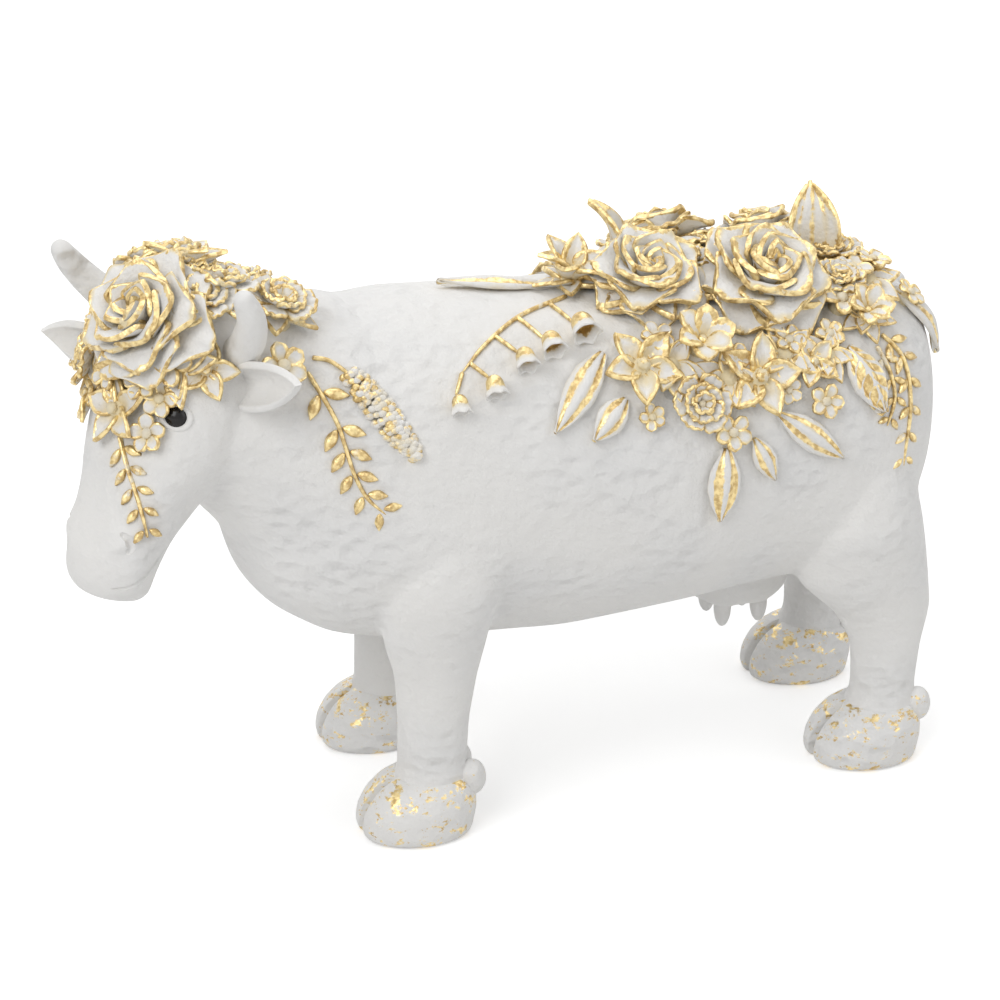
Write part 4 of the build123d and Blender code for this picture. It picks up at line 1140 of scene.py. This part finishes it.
def curled_leaves():
    """Two leaves that stand up from the spine and curl over at their tips."""
    for node, (station, girth, spin, size) in CURL_SHARES.items():
        piece = petal(CURL_LENGTH, CURL_HALF, CURL_RISE, CURL_CUP, "pointed", **CURL_FORM)
        thickened(piece, CURL_WALL)
        turn = Matrix.Rotation(math.radians(spin), 4, "Z") @ Matrix.Scale(size, 4)
        piece.data.transform(seat(on_trunk, station, girth) @ turn)
        gilt_by_edge(piece, GILT_REACH, 0)
        streaks = 0.42 + 0.22 * np.cos(values_of(piece, "across") * 4 * math.pi)
        marked(piece, gilt=np.maximum(values_of(piece, "gilt"), streaks))
        finished_leaf([piece], node)


blades()
for node, (route, count, size) in TRUNK_SPRIG_SHARES.items():
    sprig(on_trunk, node, route, count, size)
sprig(on_head, "face_sprig", *FACE_SPRIG_SHARES)
neck_spike(draw)
bell_spray()
curled_leaves()


# Horns, ears, eyes and hooves
def tube(stops, radius, profile, aside):
    """A round bar along stops, closed at both ends, whose radius follows its profile."""

    def form(along, turn):
        run = runs_of(stops, along)
        first = np.cross(run, np.array(aside))
        second = np.cross(run, first)
        first /= np.linalg.norm(first, axis=1)[:, None]
        second /= np.linalg.norm(second, axis=1)[:, None]
        ring = first * np.cos(turn)[:, None] + second * np.sin(turn)[:, None]
        return run_through(stops, along) + ring * (radius * np.interp(along, *profile))[:, None]

    return wrapped((30, 24), form)


HORN_RADIUS = 0.0052
HORN_PROFILE = ([0, 0.02, 0.4, 0.75, 0.90, 0.96, 0.99, 1], [0, 1.0, 0.92, 0.72, 0.58, 0.44, 0.22, 0])
HORN_SHARES = {
    1: [(0.17, 0.38, -0.34), (0.11, 0.54, -0.22), (0.04, 0.65, -0.07), (-0.03, 0.66, 0.10)],
    -1: [(0.14, 0.34, -0.40), (0.10, 0.56, -0.22), (0.04, 0.69, -0.02), (-0.02, 0.70, 0.19)],
}


def horn(side):
    """A smooth horn that curves up and forward to a blunt tip."""
    stops = [np.array(head_point(along, side * left, face)) for along, left, face in HORN_SHARES[side]]
    return worked(tube(stops, HORN_RADIUS, HORN_PROFILE, head_down), rounding())


EAR_ROOT_SHARES = (0.25, 0.33, -0.40)
EAR_TIP_SHARES = {"left_ear": (0.19, 0.92, -0.29), "right_ear": (0.26, 0.86, -0.06)}
EAR_HALF = 0.0074
EAR_RISE = (-8, 12)
EAR_CUP = 0.0052
EAR_WALL = 0.0022
EAR_DROOP = 0.45


def ear(side, tip):
    """A cupped ear, open to the front, thick at its rim and pointed."""
    along, left, face = EAR_ROOT_SHARES
    root = head_point(along, side * left, face)
    along, left, face = tip
    run = head_point(along, side * left, face) - root
    piece = petal(run.length, EAR_HALF, EAR_RISE, EAR_CUP, "pointed", tip=0.05, steps=(16, 12))
    thickened(piece, EAR_WALL, -1, 2)
    way = run.normalized()
    opening = head_face + head_down * EAR_DROOP
    opening = (opening - way * opening.dot(way)).normalized()
    across = opening.cross(way)
    piece.data.transform(Matrix.Translation(root) @ Matrix((way, across, opening)).transposed().to_4x4())
    return piece


EYE_SEATS = {"left_eye": (0.386, 48), "right_eye": (0.386, 132)}
EYE_RADIUS = 0.0039
EYE_SINK_SHARE = 0.50
LID_RADIUS = 0.0035
LID_HALF = 0.0009
LID_LIFT = 0.0001
LID_SHARES = (0.92, 1.12, 1, 1)
BARE = -1.0


def eye(station, girth):
    """A round eye, set back in its socket."""
    place = seat(on_head, station, girth)
    bpy.ops.mesh.primitive_uv_sphere_add(segments=40, ring_count=24, radius=EYE_RADIUS)
    piece = bpy.context.active_object
    piece.data.transform(place @ Matrix.Translation((0, 0, -EYE_SINK_SHARE * EYE_RADIUS)))
    return piece


def eyelid(station, girth):
    """A soft ring of skin round an eye."""
    bpy.ops.mesh.primitive_torus_add(
        major_segments=40, minor_segments=14, major_radius=LID_RADIUS, minor_radius=LID_HALF
    )
    piece = bpy.context.active_object
    place = seat(on_head, station, girth) @ Matrix.Translation((0, 0, LID_LIFT))
    piece.data.transform(place @ Matrix.Diagonal(LID_SHARES))
    return piece


def white_piece(piece, name, slot, *replaced):
    """Dresses a plain white fitting."""
    piece.name = name
    marked(piece, gilt=BARE)
    smooth_faces(piece)
    dressed(piece, white_casting, slot, *replaced)


for side, name in ((1, "left"), (-1, "right")):
    white_piece(horn(side), f"{name}_horn_cast", "white_horn", f"{name}_horn")
    white_piece(ear(side, EAR_TIP_SHARES[f"{name}_ear"]), f"{name}_ear_cast", "white_body", f"{name}_ear")
for node, place in EYE_SEATS.items():
    dressed(smooth_faces(eye(*place)), black_eye, "black_eye", node)
    white_piece(eyelid(*place), f"{node}lid", "white_body")


def both(girth):
    """A girth on the left side and its mirror on the right."""
    return girth, 180 - girth


# Forms worked into the body: station share, girths, reach and height of each swell or hollow
TRUNK_SWELLS = [
    (0.240, both(-22), 0.024, 0.0022),
    (0.880, both(-34), 0.026, 0.0022),
    (0.735, both(-30), 0.022, -0.0022),
    (0.350, both(-40), 0.018, -0.0016),
    (0.060, [-70], 0.022, 0.0015),
]
HEAD_SWELLS = [
    (0.330, both(58), 0.007, 0.0009),
    (0.440, both(8), 0.012, 0.0016),
    (0.600, [40], 0.010, 0.0008),
    (0.600, [140], 0.010, 0.0012),
    (0.640, both(12), 0.010, -0.0010),
    (0.800, both(62), 0.0055, 0.0015),
    (0.870, both(5), 0.014, -0.0024),
    (0.880, both(145), 0.011, -0.0012),
    (0.930, [90], 0.010, 0.0008),
]
# Muscles with a clear edge, on both sides: station, girth and reach of the muscle, the same of where its edge
# shows, and height
MUSCLES = [
    (0.235, -25, 0.021, 0.325, -28, 0.020, 0.0022),
    (0.905, -35, 0.024, 0.800, -35, 0.018, 0.0016),
]
GROOVE_PROFILE = ([0, 0.08, 0.5, 0.9, 1], [0, 0.5, 1.0, 0.6, 0])
GROOVE_LIFT = 0.0002
NOSTRIL_ROUTE = [(0.775, 64), (0.785, 57), (0.808, 53), (0.832, 56)]
NOSTRIL_RADIUS = 0.0015
MOUTH_ROUTE = [(0.775, 12), (0.830, 20), (0.890, 30), (0.935, 44), (0.955, 64)]
MOUTH_RADIUS = 0.0009
SHARP_ANGLE = math.radians(50)


def groove(skin, route, side, radius):
    """A cutter along a route on one side of the head, half sunk in the skin."""
    stops = []
    for place in on(on_head, [(station, both(girth)[side]) for station, girth in route]):
        spot, normal = skin.find_nearest(Vector(place))[:2]
        stops.append(np.array(spot + normal * GROOVE_LIFT))
    return tube(stops, radius, GROOVE_PROFILE, head_left)


def shaped_body():
    """Works the muscles and the face into the body, and cuts its nostrils and mouth."""
    spots = points_of(body)
    normals = np.empty(len(body.data.vertices) * 3, np.float32)
    body.data.vertices.foreach_get("normal", normals)
    height = np.zeros(len(spots))

    def away(carrier, station, girth, reach):
        """How far each point is from a place on the skin, as a share of a reach."""
        return np.linalg.norm(spots - np.array(seat(carrier, station, girth).translation), axis=1) / reach

    for carrier, swells in ((on_trunk, TRUNK_SWELLS), (on_head, HEAD_SWELLS)):
        for station, girths, reach, rise in swells:
            for girth in girths:
                height += rise * np.exp(-(away(carrier, station, girth, reach) ** 2))
    for station, girth, reach, edge_station, edge_girth, fade, rise in MUSCLES:
        for middle, edge in zip(both(girth), both(edge_girth)):
            inside = away(on_trunk, station, middle, reach)
            near = away(on_trunk, edge_station, edge, fade)
            height += rise * np.exp(-(inside**8)) * np.exp(-(near**2))
    set_points(body, spots + normals.reshape(-1, 3) * height[:, None])
    skin = tree_of([body])
    cutters = [groove(skin, NOSTRIL_ROUTE, side, NOSTRIL_RADIUS) for side in (0, 1)]
    cutters += [groove(skin, MOUTH_ROUTE, side, MOUTH_RADIUS) for side in (0, 1)]
    cutter = joined(cutters, "face_cutter")
    worked(body, ("BOOLEAN", {"object": cutter, "operation": "DIFFERENCE", "solver": "EXACT"}))
    bpy.data.objects.remove(cutter)
    marked(body, gilt=BARE)
    hold(body)
    bpy.ops.object.shade_smooth_by_angle(angle=SHARP_ANGLE)


shaped_body()

UDDER_STATION_SHARE = 0.745
TEAT_SPREAD = 0.012
TEAT_RADIUS = 0.0027
TEAT_LENGTH = 0.013
TEAT_SINK = 0.001


def ball(place, radii):
    """A rounded lump at a place."""
    bpy.ops.mesh.primitive_uv_sphere_add(segments=28, ring_count=18, radius=1)
    piece = bpy.context.active_object
    piece.data.transform(Matrix.Translation(place) @ Matrix.Diagonal((*radii, 1)))
    return piece


def teats():
    """Four rounded teats under the udder."""
    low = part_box("udder")[0].z
    lumps = []
    for ahead_of in (-1, 1):
        for side in (-1, 1):
            x = trunk_front.x + UDDER_STATION_SHARE * TRUNK_LENGTH + ahead_of * TEAT_SPREAD / 2
            place = Vector((x, trunk_front.y + side * TEAT_SPREAD / 2, low + TEAT_LENGTH / 2 - TEAT_SINK))
            lumps.append(ball(place, (TEAT_RADIUS, TEAT_RADIUS, TEAT_LENGTH / 2)))
    white_piece(joined(lumps, "udder_teats"), "udder_teats", "white_body")


teats()

LEG_SPREAD = 0.062
FAR_LEG_STEP = 0.0065
LEG_STATION_SHARES = {"front": 0.241, "hind": 0.907}
HOOF_LENGTH = 0.0315
HOOF_WIDTH = 0.0295
HOOF_HEIGHT = 0.0175
TOE_REACH_SHARE = 0.135
CLEFT_HALF = 0.0005
DEWCLAW_BACK = 0.0108
DEWCLAW_SPREAD = 0.0062
DEWCLAW_HEIGHT = 0.0165
DEWCLAW_RADII = (0.0040, 0.0040, 0.0054)
DEWCLAW_GILT = 0.2
# A toe from its sole's middle over its rim to its top: heights, reaches and setbacks as shares of the hoof
TOE_RUN = [0, 0.10, 0.16, 0.28, 0.42, 0.58, 0.74, 0.90, 1.0]
TOE_HEIGHTS = [0, 0, 0.04, 0.20, 0.42, 0.66, 0.86, 1.0, 1.04]
TOE_REACHES = [0, 0.92, 0.99, 1.04, 1.05, 0.98, 0.86, 0.67, 0]
TOE_BACKS = [0, 0, 0, 0, 0.02, 0.05, 0.09, 0.13, 0.14]
TOE_PART = 0.05


def toe(middle, side):
    """One half of a cloven hoof, flat below and rounded above."""

    def form(along, turn):
        reach = np.interp(along, TOE_RUN, TOE_REACHES)
        x = np.cos(turn) * reach * HOOF_LENGTH / 2 + np.interp(along, TOE_RUN, TOE_BACKS) * HOOF_LENGTH
        out = np.clip(np.sin(turn) * side, 0, 1) ** 0.8 * np.minimum(reach, 1.02)
        front = np.clip(-np.cos(turn), 0, 1) ** 3
        x = x - 0.05 * HOOF_LENGTH * front * (1 - along) * reach
        y = HOOF_WIDTH * (0.5 * out * (1 - 0.10 * front) + TOE_PART * front * reach) + CLEFT_HALF
        z = np.interp(along, TOE_RUN, TOE_HEIGHTS) * HOOF_HEIGHT
        return np.stack([x + middle.x, y * side + middle.y, z], 1)

    piece = wrapped((22, 36), form)
    worked(piece, rounding())
    height = points_of(piece)[:, 2] / HOOF_HEIGHT
    gold = 0.31 + 0.13 * np.exp(-(((height - 0.85) / 0.18) ** 2)) + 0.14 * np.exp(-((height / 0.12) ** 2))
    return marked(piece, gilt=gold)


def hooves():
    """Four cloven hooves. Each covers the foot of its leg."""
    for end, share in LEG_STATION_SHARES.items():
        for side, name, step in ((-1, "left", 0), (1, "right", FAR_LEG_STEP)):
            x = trunk_front.x + share * TRUNK_LENGTH + step
            leg = Vector((x, trunk_front.y + side * LEG_SPREAD / 2, 0))
            middle = leg - Vector((TOE_REACH_SHARE * HOOF_LENGTH, 0, 0))
            lumps = [toe(middle, -1), toe(middle, 1)]
            for claw in (-1, 1):
                claw_place = leg + Vector((DEWCLAW_BACK, claw * DEWCLAW_SPREAD, DEWCLAW_HEIGHT))
                lumps.append(marked(ball(claw_place, DEWCLAW_RADII), gilt=DEWCLAW_GILT))
            piece = joined(lumps, f"{end}_{name}_hoof")
            dressed(smooth_faces(piece), white_casting, "white_body")


hooves()
